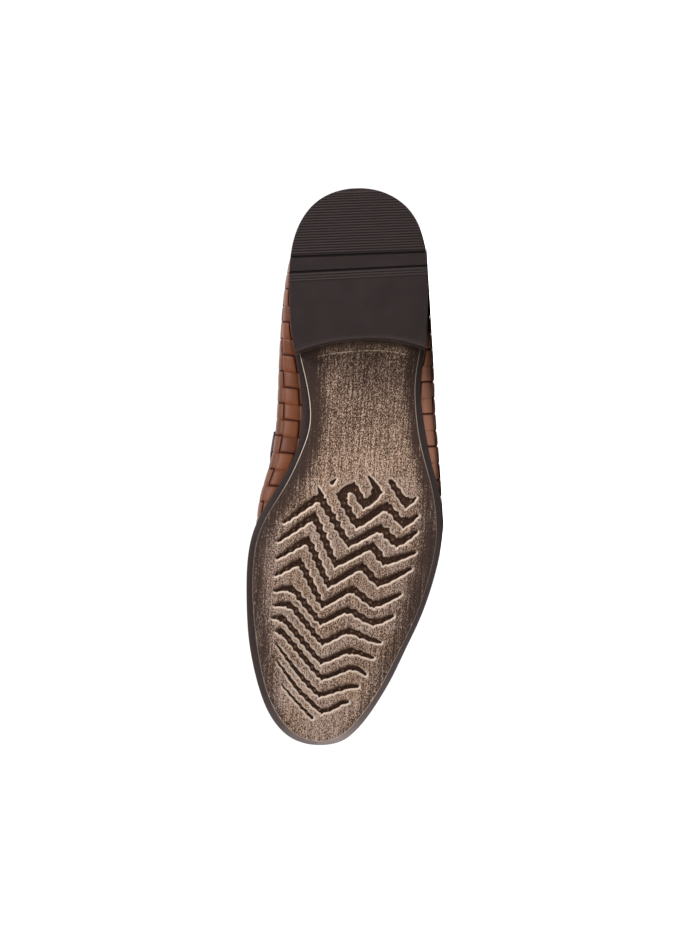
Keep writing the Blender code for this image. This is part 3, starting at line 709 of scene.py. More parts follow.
def lining():
    """The thin shell inside the weave, closed at the collar and along the feather line."""
    stations = np.linspace(0.0, 1.0, LINING_STATIONS)
    edge = np.where(stations < THROAT_END, collar_girth(stations), 0.0)[:, None]
    girths = edge + (LINING_GIRTH - edge) * np.linspace(0.0, 1.0, LINING_STEPS)
    grid = np.broadcast_to(stations[:, None], girths.shape)
    count = girths.size
    faces = grid_faces(*girths.shape)
    faces += [tuple(i + count for i in face[::-1]) for face in faces]
    for i in range(LINING_STATIONS - 1):
        here, ahead = i * LINING_STEPS, (i + 1) * LINING_STEPS
        low, low_ahead = here + LINING_STEPS - 1, ahead + LINING_STEPS - 1
        faces.append((low, low_ahead, low_ahead + count, low + count))
        if stations[i] < THROAT_END:
            faces.append((here, ahead, ahead + count, here + count))
    shapes = []
    for sheet in SHEETS.values():
        layers = [sheet.lift(grid, girths, np.full(girths.shape, -depth)).reshape(-1, 3)
                  for depth in (LINING_OUTER, LINING_INNER)]
        inside = np.repeat([0.0, 1.0], count)
        shapes.append((np.concatenate(layers), faces, {"inside": inside}))
    return joined(shapes)


COLLAR_SAMPLES = 600
BINDING_SAMPLES = 260
EDGE_TUCK = 0.05

# Round the collar's edge. Columns: distance below the edge, height off the upper's face.
BINDING_SECTION = (
    (9.3, 0.02), (9.4, 0.35), (9.1, 0.72), (8.2, 0.92), (6.0, 1.00), (3.0, 1.05), (1.0, 1.05),
    (-0.5, 0.75), (-1.5, 0.00), (-1.9, -1.10), (-1.5, -2.20), (-0.5, -3.10), (1.0, -3.45),
    (4.0, -3.45), (8.0, -3.40), (11.0, -3.35), (11.4, -3.00), (11.0, -2.50), (6.0, -2.48),
    (1.0, -2.40), (0.2, -1.10), (1.0, 0.02), (5.0, 0.02),
)
COLLAR_STITCH_DROP = 7.7
COLLAR_STITCH_HEIGHT = 1.0

# A stitch, and its rings. Columns: place along (-1 to 1), radius as a share.
STITCH_RUN = 3.1
STITCH_LENGTH = 2.3
STITCH_RADIUS = 0.3
STITCH_RINGS = ((-1.0, 0.35), (-0.8, 0.8), (0.0, 1.0), (0.8, 0.8), (1.0, 0.35))
STITCH_SIDES = 6


def collar_path():
    """The collar's edge as flat points, from the heel along the medial side to the throat
    and home along the lateral side, with the flat direction away from the opening."""
    dense = THROAT_END * np.sin(np.linspace(0.0, math.pi / 2, COLLAR_SAMPLES))
    medial, lateral = (SHEETS[side].sample(SHEETS[side].flat, dense, collar_girth(dense))
                       for side in (1, -1))
    path = np.concatenate((medial, lateral[::-1]))
    run = run_along(path)
    path = resampled(path, run, np.linspace(0.0, run[-1], BINDING_SAMPLES))
    outward = left_of(path)
    outward[0] = (0.0, 1.0)
    outward[-1] = (0.0, -1.0)
    return path, outward


def on_collar(path, outward, distance, height):
    """Points at a distance below the collar's edge, and a height off the upper's face."""
    def raised(tuck, rise):
        return lifted(find_places(path + outward * tuck), np.full(len(path), rise))

    if distance >= EDGE_TUCK:
        return raised(distance, height)
    upward = unit(raised(EDGE_TUCK, 0.0) - raised(1.0, 0.0))
    return raised(EDGE_TUCK, height) - upward * distance


def collar_binding(path, outward):
    rings = [on_collar(path, outward, drop, height) for drop, height in BINDING_SECTION]
    grid = np.stack(rings, axis=1)
    rows, columns = grid.shape[:2]
    faces = grid_faces(rows - 1, columns, close_rows=True, close_columns=True)
    drops = np.array([drop for drop, _ in BINDING_SECTION])
    edge = np.broadcast_to(smoothstep(7.5, 9.3, drops), (rows - 1, columns))
    return grid[:-1].reshape(-1, 3), faces, {"edge": edge.ravel()}


def stitches(line, foot):
    """A row of stitches along a line of points, each a small rounded bar. Foot is the line
    under them on the face of the upper."""
    run = run_along(line)
    middles = (np.arange(int(run[-1] / STITCH_RUN)) + 0.5) * STITCH_RUN
    centre = resampled(line, run, middles)
    up = unit(resampled(line - foot, run, middles))
    tangent = unit(np.gradient(centre, axis=0))
    template = []
    for along, radius in STITCH_RINGS:
        for k in range(STITCH_SIDES):
            turn = k * 2 * math.pi / STITCH_SIDES
            template.append((along, radius * math.cos(turn), radius * math.sin(turn)))
    template = np.array(template) * (STITCH_LENGTH / 2, STITCH_RADIUS, STITCH_RADIUS)
    bars = []
    for c, t, b, u in zip(centre, tangent, np.cross(up, tangent), up):
        points = c + template @ np.stack((t, b, u))
        bars.append(tube(points.reshape(len(STITCH_RINGS), STITCH_SIDES, 3), {}))
    return joined(bars)


BACKSTAY_HALF_WIDTH = 8.0
BACKSTAY_ROWS = 50
BACKSTAY_TUCK = 0.07
BACKSTAY_LAST_GIRTH = 1.99
BACKSTAY_STITCH_PLACES = (-0.78, 0.78)
BACKSTAY_STITCH_HEIGHT = 0.98

# Across the backstay. Columns: place across (-1 to 1), height off the upper's face.
BACKSTAY_SECTION = (
    (-1.00, 0.00), (-1.00, 0.45), (-0.95, 0.80), (-0.80, 0.95), (-0.40, 1.00), (0.00, 1.02),
    (0.40, 1.00), (0.80, 0.95), (0.95, 0.80), (1.00, 0.45), (1.00, 0.00), (0.00, 0.00),
)


def backstay_points(across, height):
    """A line of points from the collar down to the sole, at a place across the backstay."""
    sheet = SHEETS[1 if across >= 0 else -1]
    distance = abs(across) * BACKSTAY_HALF_WIDTH
    station = float(np.interp(distance, sheet.widest_run - sheet.back_x, sheet.stations))
    top = float(collar_girth(station)) + BACKSTAY_TUCK
    girths = np.linspace(top, BACKSTAY_LAST_GIRTH, BACKSTAY_ROWS)
    return sheet.lift(np.full(BACKSTAY_ROWS, station), girths, np.full(BACKSTAY_ROWS, height))


def backstay():
    lines = [backstay_points(across, height) for across, height in BACKSTAY_SECTION]
    grid = np.stack(lines, axis=1)
    edge = np.broadcast_to([abs(across) for across, _ in BACKSTAY_SECTION], grid.shape[:2])
    return tube(grid, {"edge": smoothstep(0.9, 1.0, edge)})


# The strap over the instep: its rear and front edge at the ridge and at its two ends.
STRAP_RIDGE_X = (152.0, 175.0)
STRAP_END_X = (133.0, 146.0)
STRAP_END_RISE = {1: 0.10, -1: 0.26}
STRAP_ROWS = 120

# Across the strap. Columns: place from rear to front edge, height off the upper's face.
STRAP_SECTION = (
    (0.000, 0.25), (-0.004, 0.90), (0.015, 1.60), (0.045, 1.95), (0.110, 1.95), (0.135, 1.75),
    (0.160, 2.00), (0.300, 2.10), (0.500, 2.15), (0.700, 2.10), (0.840, 2.00), (0.865, 1.75),
    (0.890, 1.95), (0.955, 1.95), (0.985, 1.60), (1.004, 0.90), (1.000, 0.25), (0.500, 0.25),
)
STRAP_STITCH_PLACES = (0.135, 0.865)
STRAP_STITCH_HEIGHT = 1.85


def strap_line(place, height):
    """A line over the instep from the strap's lateral end to its medial end."""
    reach = np.linspace(-1.0, 1.0, STRAP_ROWS)
    away = np.abs(reach)
    end_rise = np.where(reach > 0, STRAP_END_RISE[1], STRAP_END_RISE[-1])
    rear = STRAP_RIDGE_X[0] + (STRAP_END_X[0] - STRAP_RIDGE_X[0]) * away ** 2
    front = STRAP_RIDGE_X[1] + (STRAP_END_X[1] - STRAP_RIDGE_X[1]) * away ** 3
    station = widest.station(rear + (front - rear) * place)
    girth = reach * (1 - end_rise)
    return lifted(np.stack((station, girth), axis=1), np.full(STRAP_ROWS, height))


def strap():
    grid = np.stack([strap_line(place, height) for place, height in STRAP_SECTION], axis=1)
    places = np.array([place for place, _ in STRAP_SECTION])
    edge = smoothstep(0.44, 0.5, np.abs(places - 0.5))
    return tube(grid, {"edge": np.broadcast_to(edge, grid.shape[:2])})


# ---- The sole and heel

# The tread: one row for each zigzag groove, from its medial tip to its lateral tip.
# Columns: medial tip, medial bend, peak, valley, lateral bend, lateral tip; each is (x, y).
ZIGZAGS = (
    ((182.3, 26.7), (166.7, 8.7), (191.7, -8.9), (180.9, -25.2), (189.7, -34.6), (182.3, -44.8)),
    ((192.5, 29.2), (177.2, 10.8), (203.1, -2.5), (190.8, -21.6), (200.0, -28.2), (193.3, -44.8)),
    ((201.7, 29.2), (190.1, 13.3), (214.3, 0.5), (202.0, -16.7), (211.9, -26.0), (202.2, -43.1)),
    ((210.7, 29.2), (202.0, 16.8), (225.4, 3.0), (214.6, -12.3), (223.5, -24.5), (216.0, -38.6)),
    ((219.1, 29.2), (216.2, 20.3), (234.7, 3.3), (225.8, -10.5), (233.2, -24.9), (228.2, -35.2)),
    ((226.9, 28.6), (225.1, 20.6), (245.7, 1.6), (237.0, -11.9), (241.2, -22.4), (242.9, -29.6)),
    ((233.8, 28.9), (232.6, 24.2), (256.1, 1.6), (247.9, -13.1), (250.0, -21.0), (251.6, -26.2)),
    ((240.7, 27.0), (239.7, 24.5), (264.9, 0.6), (257.4, -14.6), (258.3, -19.4), (261.1, -22.8)),
    ((248.2, 25.8), (262.7, 13.5), (274.3, 1.3), (270.2, -8.2), (267.9, -14.5), (267.8, -19.1)),
    ((256.9, 25.2), (271.5, 13.2), (283.4, -0.6), (280.2, -7.0), (277.0, -11.0), (276.6, -14.4)),
)

# Groove widths at those six points, and for each arm between them how much wider its
# middle is and how deeply its edges are scalloped: at the tread's back, then its front.
ZIGZAG_WIDTHS = ((1.2, 3.8, 3.3, 3.7, 3.9, 1.3), (1.3, 2.1, 2.2, 2.2, 2.0, 1.4))
ARM_SWELLS = ((0.7, 0.9, 0.0, 1.5, 1.1), (0.2, 0.5, 0.1, 0.3, 0.4))
ARM_SCALLOPS = ((0.8, 1.9, 0.35, 1.9, 0.5), (0.6, 0.7, 0.5, 0.6, 0.4))

# Other grooves. Columns: points, widths at the points, swell, scallop depth of each arm,
# and how far the outer corners reach, in half widths.
OTHER_GROOVES = (
    (((156.4, -29.2), (168.0, -38.2), (164.1, -43.2)), (3.2, 4.3, 1.4), 0.2, (0.8, 0.8), 1.35),
    (((269.9, 21.6), (278.5, 13.4), (286.7, 4.4)), (1.1, 1.6, 1.9), 0.2, (0.7, 0.7), 1.35),
    (((154.5, -17.2), (162.4, -23.4), (170.5, -15.6), (159.5, -9.2), (165.2, -1.9),
      (181.2, -12.5), (168.7, -27.7), (179.2, -37.5), (173.5, -44.9)),
     (1.6, 4.4, 4.2, 4.2, 4.4, 3.9, 3.7, 4.2, 1.4), 0.2,
     (0.3, 0.2, 0.7, 0.2, 1.4, 0.3, 1.3, 0.5), 1.0),
    (((161.8, 9.9), (166.7, 7.6)), (0.8, 3.4), 0.0, (0.0,), 1.35),
    (((156.9, 0.4), (159.2, 2.5)), (0.9, 2.7), 0.0, (0.0,), 1.35),
)

# How the grooves are cut: millimetres, but for shares and the lee's direction.
GROOVE_DEPTH = 1.3
GROOVE_WALL = 0.75
GROOVE_CORNER = 4.0
GROOVE_STEP = 0.15
CORNER_STEP = 0.1
CORNER_BLUNTEST = 0.94
CORNER_REACH = 0.85
CORNER_LONGEST = 1.35
CORNER_ROOT = 2.2
SCALLOP_PITCH = 4.8
SCALLOP_STAGGER = 0.33
SCALLOP_MIDDLE = 0.60
STUD_RADIUS = 0.95
STUD_HEIGHT = 0.45
# LEE points the way the light travels across the tread, away from the heel and medial side; it sets
# which lips get a painted highlight and which a painted shadow.
LEE = (0.8, -0.6)

# Where the tread's grooves begin and end, and how finely its face is drawn.
TREAD_BACK_X = 165.0
TREAD_FRONT_X = 285.0
TREAD_ZONE = (146.0, 291.0)
TREAD_STEP = 0.48
WAIST_STEP = 2.4
BACK_ROWS = 8
TOE_ROWS = 16
FACE_COLUMNS = 184
LIP_ROUNDING = 0.35
NO_LIP = 9.0

# The sole's edge: a chamfer up from the tread face, then a wall.
EDGE_CHAMFER_SHARE = 0.5
EDGE_CHAMFER_PLACES = (0.05, 0.3, 0.6, 0.85, 1.0)
EDGE_WALL_PLACES = (0.45, 0.85, 1.0)
EDGE_WALL_BULGE = 0.18
EDGE_DRAFT = 0.5
EDGE_ROUNDING = 0.45

# The heel's breast, its concave front face. Columns: y, x.
HEEL_BREAST = (
    (-41.8, 83.5), (-32.0, 81.4), (-22.0, 80.4), (-11.0, 80.9), (1.0, 82.6), (15.0, 86.2),
    (27.3, 91.5),
)
BREAST_Y_LIMITS = (-44.0, 34.0)
breast_curve = curve_from(HEEL_BREAST)

# The heel.
LIFT_HEIGHT = 6.0
HEEL_GAP = 0.3
HEEL_INSET = 0.4
HEEL_COLUMNS = 44
HEEL_MIDDLE_Y = 0.2
HEEL_FIRST_ROWS = (0.25, 0.29, 0.37, 0.52, 0.85)
HEEL_SIDE_SAMPLES = 500
HEEL_END_STEPS = 40

# Rows over the heel's tread, by where they cross the middle: two deep grooves, and ribs.
DEEP_GROOVES = (36.3, 44.3)
ROW_TILT = (0.107, 0.1205)
DEEP_GROOVE_DEPTH = 1.5
RIB_PITCH = 1.45
RIB_DEPTH = 0.38
RIBS_BACK = 23
RIBS_AHEAD = 3
BREAST_ROWS = 26
BREAST_START = 52.0
LIFT_EDGE = 0.3

# Across a rib and its groove, and across a deep groove. Columns: place along, depth.
RIB_SECTION = ((0.0, 0.0), (0.55, 0.0), (0.85, RIB_DEPTH), (1.12, RIB_DEPTH))
DEEP_SECTION = (
    (-0.70, 0.0), (-0.55, 0.25), (-0.43, DEEP_GROOVE_DEPTH), (0.43, DEEP_GROOVE_DEPTH),
    (0.55, 0.25), (0.70, 0.0),
)


def rounded_path(points, radius):
    """A plan path with rounded corners. Columns: x, y, place (a whole number per point)."""
    points = [np.array(point) for point in points]
    path = [(*points[0], 0.0)]
    for i in range(1, len(points) - 1):
        arrive, leave = points[i] - points[i - 1], points[i + 1] - points[i]
        before, after = np.linalg.norm(arrive), np.linalg.norm(leave)
        reach = min(radius, 0.45 * before, 0.45 * after)
        start, end = points[i] - arrive / before * reach, points[i] + leave / after * reach
        for t in np.linspace(0.0, 1.0, 9):
            x, y = (1 - t) ** 2 * start + 2 * t * (1 - t) * points[i] + t * t * end
            shift = np.interp(t, (0.0, 0.5, 1.0), (-reach / before, 0.0, reach / after))
            path.append((x, y, i + shift))
    path.append((*points[-1], len(points) - 1.0))
    return np.array(path)


def groove_samples(number, points, widths, swells, scallops):
    """Dense samples of a groove's middle. Columns: x, y, tangent x and y, half its width,
    scallop depth and run."""
    path = rounded_path(points, GROOVE_CORNER)
    length = run_along(path[:, :2])
    run = np.arange(0.0, length[-1], GROOVE_STEP)
    x, y, place = resampled(path, length, run).T
    arm = np.minimum(place.astype(int), len(points) - 2)
    middle = np.sin(math.pi * np.clip(place - arm, 0.0, 1.0))
    half = np.interp(place, np.arange(len(points)), widths) / 2
    half += np.array(swells)[arm] / 2 * np.sqrt(middle)
    depth = np.array(scallops)[arm] * smoothstep(0.0, 0.35, middle)
    depth *= 0.8 + 0.3 * np.sin(0.37 * run + 2.1 * number)  # no two scallops are quite alike
    tangent = unit(np.gradient(np.stack((x, y), axis=1), axis=0))
    return np.column_stack((x, y, tangent, half, depth, run + 1.7 * number))


def corner_samples(points, widths, longest):
    """Samples that carry a groove's outer corners out to points, in the same columns."""
    samples = []
    points = np.array(points)
    for i in range(1, len(points) - 1):
        back, ahead = unit(points[i - 1] - points[i]), unit(points[i + 1] - points[i])
        inward = unit(back + ahead)
        sharpness = math.sqrt(max(1 - (inward @ back) ** 2, 0.0))
        if sharpness > CORNER_BLUNTEST:
            continue
        half = widths[i] / 2
        tip = points[i] - inward * half * min(CORNER_REACH / sharpness, longest)
        for reach in np.arange(0.0, CORNER_ROOT * half, CORNER_STEP):
            x, y = tip + inward * reach
            wide = min(reach * sharpness * 1.1 + CORNER_STEP, half)
            samples.append((x, y, 0.0, 0.0, wide, 0.0, 0.0))
    return np.array(samples).reshape(-1, 7)


def blend_rows(back_and_front, share):
    back, front = (np.array(row) for row in back_and_front)
    return back + (front - back) * share


def all_grooves():
    """Samples of the grooves' middles, and of their outer corners."""
    zigzags = []
    for points in ZIGZAGS:
        xs = np.array(points)[:, 0]
        share = np.clip((xs - TREAD_BACK_X) / (TREAD_FRONT_X - TREAD_BACK_X), 0.0, 1.0)
        arm_share = (share[1:] + share[:-1]) / 2
        swells, scallops = (blend_rows(rows, arm_share) for rows in (ARM_SWELLS, ARM_SCALLOPS))
        widths = blend_rows(ZIGZAG_WIDTHS, share)
        zigzags.append((points, widths, swells, scallops, CORNER_LONGEST))
    others = [(points, widths, [swell] * len(scallops), scallops, longest)
              for points, widths, swell, scallops, longest in OTHER_GROOVES]
    samples, corners = [], []
    for family in (zigzags, others):
        for number, (points, widths, swells, scallops, longest) in enumerate(family):
            samples.append(groove_samples(number, points, widths, swells, scallops))
            corners.append(corner_samples(points, widths, longest))
    return np.concatenate(samples), np.concatenate(corners)


def nearest_sample(samples, plan):
    """The index of the sample nearest each plan point, and how far off it is."""
    finder = KDTree(len(samples))
    for i, (x, y) in enumerate(samples[:, :2].tolist()):
        finder.insert((x, y, 0.0), i)
    finder.balance()
    found = [finder.find((x, y, 0.0))[1:] for x, y in plan.tolist()]
    return np.array([index for index, _ in found]), np.array([gap for _, gap in found])


def lip_distance(plan):
    """How far plan points lie from the nearest groove's lip, negative inside it; how
    squarely that groove is to their heel and medial side, from -1 to 1; and the studs."""
    grooves, corners = all_grooves()
    nearest, distance = nearest_sample(grooves, plan)
    x, y, tangent_x, tangent_y, half, depth, run = grooves[nearest].T
    offset = plan - np.stack((x, y), axis=1)
    side = np.sign(tangent_x * offset[:, 1] - tangent_y * offset[:, 0])
    phase = (run + side * SCALLOP_PITCH * SCALLOP_STAGGER) / SCALLOP_PITCH
    lobe = SCALLOP_MIDDLE - np.abs(np.sin(math.pi * phase))
    outward = offset / np.maximum(distance, 1e-6)[:, None]
    lip = distance - half - depth * lobe * 0.9
    from_stud = np.hypot(distance, (run % SCALLOP_PITCH) - SCALLOP_PITCH / 2)
    stud = smoothstep(STUD_RADIUS, 0.3 * STUD_RADIUS, from_stud) * smoothstep(0.3, 0.6, depth)
    nearest, distance = nearest_sample(corners, plan)
    lip = np.minimum(lip, distance - corners[nearest, 4])
    return lip, outward @ np.array(LEE), stud


def breast_line(y):
    return breast_curve(np.clip(y, *BREAST_Y_LIMITS))


# The sole's edge. Columns: x, then how pale the band is and how strong the fine line along
# its rim, on the medial side and on the lateral side. The band's paleness is partly painted
# light, lifted most on the lateral side, which faces the floor and gets little light; the fine
# line is a worn edge brightened as a painted highlight, strongest along the medial waist.
EDGE_TONES = (
    (0.0, 0.00, 0.78, 0.06, 0.30), (141.0, 0.00, 0.80, 0.06, 0.30),
    (154.0, 0.00, 0.55, 0.06, 0.13), (166.0, 0.00, 0.28, 0.07, 0.08),
    (176.0, 0.02, 0.10, 0.08, 0.07), (190.0, 0.03, 0.06, 0.11, 0.07),
    (225.0, 0.035, 0.08, 0.12, 0.09), (240.0, 0.05, 0.12, 0.15, 0.13),
    (258.0, 0.07, 0.14, 0.19, 0.26), (275.0, 0.10, 0.20, 0.27, 0.32),
    (285.0, 0.19, 0.30, 0.40, 0.36), (291.0, 0.25, 0.38, 0.62, 0.42),
    (297.0, 0.60, 0.50, 1.00, 0.50), (302.0, 0.82, 0.60, 0.82, 0.60),
)
EDGE_GLOW = 0.025


def tread_stations():
    """Stations along the tread face, close together over the grooves and at both ends."""
    (back_x, _), (front_x, _) = TREAD_FACE_ENDS
    toe = front_x - (front_x - TREAD_ZONE[1]) * np.linspace(1.0, 0.0, TOE_ROWS) ** 2
    xs = np.concatenate((np.arange(back_x, TREAD_ZONE[0], WAIST_STEP),
                         np.arange(*TREAD_ZONE, TREAD_STEP), toe))
    stations = tread_face.station(xs)
    back = np.linspace(0.0, stations[2], BACK_ROWS)[:-1]
    return np.concatenate((back, stations[2:]))


def sole_side(stations, side):
    """The chamfer and wall of the sole's edge, from the tread face up to its flat top."""
    rim, edge = tread_face.line(stations, side), sole_edge.line(stations, side)
    inward = left_of(edge) * -side
    low, thick = sole_underside(edge[:, 0]), sole_thickness(edge[:, 0])
    foot = np.column_stack((rim, sole_underside(rim[:, 0])))
    shoulder = np.column_stack((edge, low + thick * EDGE_CHAMFER_SHARE))
    top = np.column_stack((edge + inward * EDGE_DRAFT, low + thick))
    line = []
    for t in EDGE_CHAMFER_PLACES:
        point = foot + (shoulder - foot) * t
        point[:, 2] -= EDGE_ROUNDING * 4 * t * (1 - t)
        line.append(point)
    for t in EDGE_WALL_PLACES:
        point = shoulder + (top - shoulder) * t
        point[:, :2] -= inward * EDGE_WALL_BULGE * math.sin(math.pi * t)
        line.append(point)
    return np.stack(line, axis=1)


def outsole():
    """The outsole: its grooved tread face, rounded edge and flat top."""
    stations = tread_stations()
    xs = tread_face.x(stations)
    even = np.linspace(0.0, 1.0, FACE_COLUMNS)
    share = 0.75 * even + 0.25 * between(0.0, 1.0, even)  # a little closer at both sides
    low, high = tread_face.lateral(stations)[:, None], tread_face.medial(stations)[:, None]
    y = low + (high - low) * share
    x = np.broadcast_to(xs[:, None], y.shape)
    lip, lee, stud = np.full(y.shape, NO_LIP), np.zeros(y.shape), np.zeros(y.shape)
    near = (x > TREAD_ZONE[0] - 1) & (x < TREAD_ZONE[1] + 1)
    lip[near], lee[near], stud[near] = lip_distance(np.stack((x[near], y[near]), axis=1))
    depth = (GROOVE_DEPTH - STUD_HEIGHT * stud) * smoothstep(0.0, 1.0, -lip / GROOVE_WALL)
    depth += LIP_ROUNDING * (1 - smoothstep(-0.2, 1.3, lip))
    face = np.stack((x, y, sole_underside(x) + depth), axis=-1)
    grid = np.concatenate((face, sole_side(stations, 1), sole_side(stations, -1)[:, ::-1]), axis=1)

    # Rim is how far a point lies in from the face's rim, and below 0 how far over the edge.
    toe_rim = np.maximum(TREAD_FACE_ENDS[1][0] - x, 0.0) * 1.2
    rim = np.minimum(np.minimum(y - low, high - y), toe_rim)
    over = np.concatenate((-4.0 * np.array(EDGE_CHAMFER_PLACES),
                           -4.0 - 3.0 * np.array(EDGE_WALL_PLACES)))
    glow = EDGE_GLOW * smoothstep(-1.5, -4.0, over)
    medial, lateral = read(EDGE_TONES, xs, 1)[:, None], read(EDGE_TONES, xs, 3)[:, None]
    line = np.where(y > -5.0, read(EDGE_TONES, x, 2), read(EDGE_TONES, x, 4))

    def whole(on_face, on_edge):
        edge = np.broadcast_to(on_edge, (len(xs), 2 * len(over)))
        return np.hstack((on_face, edge)).ravel()

    return grid.reshape(-1, 3), grid_faces(*grid.shape[:2], close_columns=True), {
        "lip": whole(lip, NO_LIP),
        "lee": whole(lee, 0.0),
        "stud": whole(stud, 0.0),
        "pale": whole(0.0 * y, np.hstack((medial + glow, lateral + glow[::-1]))),
        "rim": whole(rim, np.concatenate((over, over[::-1]))),
        "wash": whole(wash_of(x, y, rim), 0.0),
        "line": whole(line, 0.5),
        "ahead": whole(x - breast_line(y), 99.0),
    }


# The pale wash is rubbed off along the rim of the tread face. Columns: x, how much of it
# stays at the very rim on the medial and on the lateral side.
WASH_AT_RIM = (
    (150, 0.22, 0.22), (170, 0.12, 0.12), (222, 0.12, 0.13), (232, 0.14, 0.27),
    (245, 0.18, 0.36), (260, 0.24, 0.44), (285, 0.36, 0.50), (291, 0.62, 0.70), (297, 0.90, 0.90),
)

# The rubbed margin's width, and how much wider it is on either side. Columns: x, width.
MARGIN = 13.5
TOE_MARGIN = 5.5
MORE_MEDIAL_MARGIN = ((150, 0.0), (172, 4.0), (195, 0.0))
MORE_LATERAL_MARGIN = ((130, -4.0), (165, 0.0), (185, 4.0), (225, 4.0), (245, 0.0))


def wash_of(x, y, rim):
    """How much of the pale wash stays on the tread face: it is rubbed dark at the edges."""
    margin = MARGIN - (MARGIN - TOE_MARGIN) * smoothstep(262.0, 288.0, x)
    margin += smoothstep(0.0, -12.0, y) * read(MORE_LATERAL_MARGIN, x)
    margin += smoothstep(0.0, 12.0, y) * read(MORE_MEDIAL_MARGIN, x)
    medial, lateral = read(WASH_AT_RIM, x, 1), read(WASH_AT_RIM, x, 2)
    least = medial + (lateral - medial) * smoothstep(6.0, -6.0, y)
    side = smoothstep(1.2, margin, rim)
    breast = 0.55 + 0.45 * smoothstep(82.0, 150.0, x)
    medial_waist = 1 - 0.6 * smoothstep(6.0, 19.0, y) * smoothstep(175.0, 145.0, x)
    tread = 1 - 0.16 * smoothstep(158.0, 172.0, x) * smoothstep(275.0, 255.0, x)
    return (least + (1 - least) * side) * breast * medial_waist * tread


def heel_side(side, inset):
    """One side of the heel's plan, from its back end: arrays of x and y."""
    corner = HEEL_BREAST[-1 if side > 0 else 0][1]
    stations = np.linspace(0.0, float(sole_edge.station(corner + 4.0)), HEEL_SIDE_SAMPLES)
    line = sole_edge.line(stations, side)
    return (line - left_of(line) * side * inset).T


def heel_row(row, y):
    """The x of a heel row: straight lines, then lines that bend towards the breast."""
    base = np.minimum(row, BREAST_START)
    tilt = np.interp(base, DEEP_GROOVES, ROW_TILT)
    straight = base + tilt * y
    share = np.clip((row - BREAST_START) / BREAST_ROWS, 0.0, 1.0)
    return straight + (breast_line(y) - HEEL_INSET - straight) * share


def heel_grid(rows, inset, height):
    """A grid of points over the heel's plan, set in from its sides by an inset."""
    rows = rows + inset * (1 - smoothstep(0.0, 8.0, rows))
    lateral, medial = heel_side(-1, inset), heel_side(1, inset)
    ends = []
    for side in (-1, 1):  # halving finds where each row leaves the plan
        near, far = np.full(len(rows), HEEL_MIDDLE_Y), np.full(len(rows), 50.0 * side)
        for _ in range(HEEL_END_STEPS):
            y = (near + far) / 2
            x = heel_row(rows, y)
            inside = (x > medial[0][0]) & (np.interp(x, *lateral) < y)
            inside &= y < np.interp(x, *medial)
            near, far = np.where(inside, y, near), np.where(inside, far, y)
        ends.append(near)
    y = ends[0][:, None] + (ends[1] - ends[0])[:, None] * np.linspace(0.0, 1.0, HEEL_COLUMNS)
    x = heel_row(rows[:, None], y)
    return np.stack((x, y, np.broadcast_to(height, (len(rows), 1)) + 0 * y), axis=-1)


def slab(layers, values):
    """A closed body between a first and a last grid, with rims of other grids between."""
    rows, columns = layers[0].shape[:2]
    index = np.arange(rows * columns).reshape(rows, columns)
    rim = np.concatenate((index[0], index[1:, -1], index[-1, -2::-1], index[-2:0:-1, 0]))
    points = [layers[0].reshape(-1, 3)]
    points += [layer.reshape(-1, 3)[rim] for layer in layers[1:-1]]
    points.append(layers[-1].reshape(-1, 3))
    starts = np.cumsum([0] + [len(part) for part in points])
    loops = [rim] + [starts[i] + np.arange(len(rim)) for i in range(1, len(layers) - 1)]
    loops.append(starts[-2] + rim)
    faces = grid_faces(rows, columns) + grid_faces(rows, columns, first=int(starts[-2]))
    for low, high in zip(loops, loops[1:]):
        for i in range(len(rim)):
            j = (i + 1) % len(rim)
            faces.append((int(low[i]), int(low[j]), int(high[j]), int(high[i])))
    whole = {}
    for name, (first, between) in values.items():
        rest = np.full(int(starts[-1]) - rows * columns, between)
        whole[name] = np.concatenate((first.ravel(), rest))
    return np.vstack(points), faces, whole


def lift_rows():
    """The heel tread's rows and how deep each lies."""
    first, second = DEEP_GROOVES
    profile = [(row, 0.0) for row in (*HEEL_FIRST_ROWS, 1.4)]

    def add(start, section, share=1.0):
        profile.extend((start + shift, depth * share) for shift, depth in section)

    for i in range(RIBS_BACK):
        add(first - 0.9 - (RIBS_BACK - i) * RIB_PITCH, RIB_SECTION)
    add(first, DEEP_SECTION)
    add(first, ((2.5, 0.0), (5.2, 0.0)))
    add(second, DEEP_SECTION)
    for i in range(RIBS_AHEAD):
        add(second + 1.1 + i * RIB_PITCH, RIB_SECTION, 0.8)
    add(BREAST_START, [(i, 0.0) for i in range(BREAST_ROWS)])
    add(BREAST_START + BREAST_ROWS, ((-0.45, 0.02), (0.0, 0.3)))
    return np.array(profile).T


def top_lift():
    rows, depths = lift_rows()
    layers = (heel_grid(rows, HEEL_INSET + LIFT_EDGE, depths[:, None]),
              heel_grid(rows, HEEL_INSET, LIFT_EDGE),
              heel_grid(rows, HEEL_INSET, LIFT_HEIGHT - 0.2),
              heel_grid(rows, HEEL_INSET + 0.2, LIFT_HEIGHT))
    behind = (rows > 2.0) & (rows < DEEP_GROOVES[0] - 0.9)
    ahead = (rows > DEEP_GROOVES[1] + 1.0) & (rows < BREAST_START - 1.0)
    columns = {
        "depth": depths,
        "front": smoothstep(BREAST_ROWS - 2.2, BREAST_ROWS, rows - BREAST_START),
        "crest": ((behind | ahead) & (depths < 0.01)).astype(float),
    }
    shape = layers[0].shape[:2]
    return slab(layers, {name: (np.broadcast_to(column[:, None], shape), 0.0)
                         for name, column in columns.items()})


# The lines between the heel stack's layers, by height.
STACK_LINES = (10.4, 14.6)


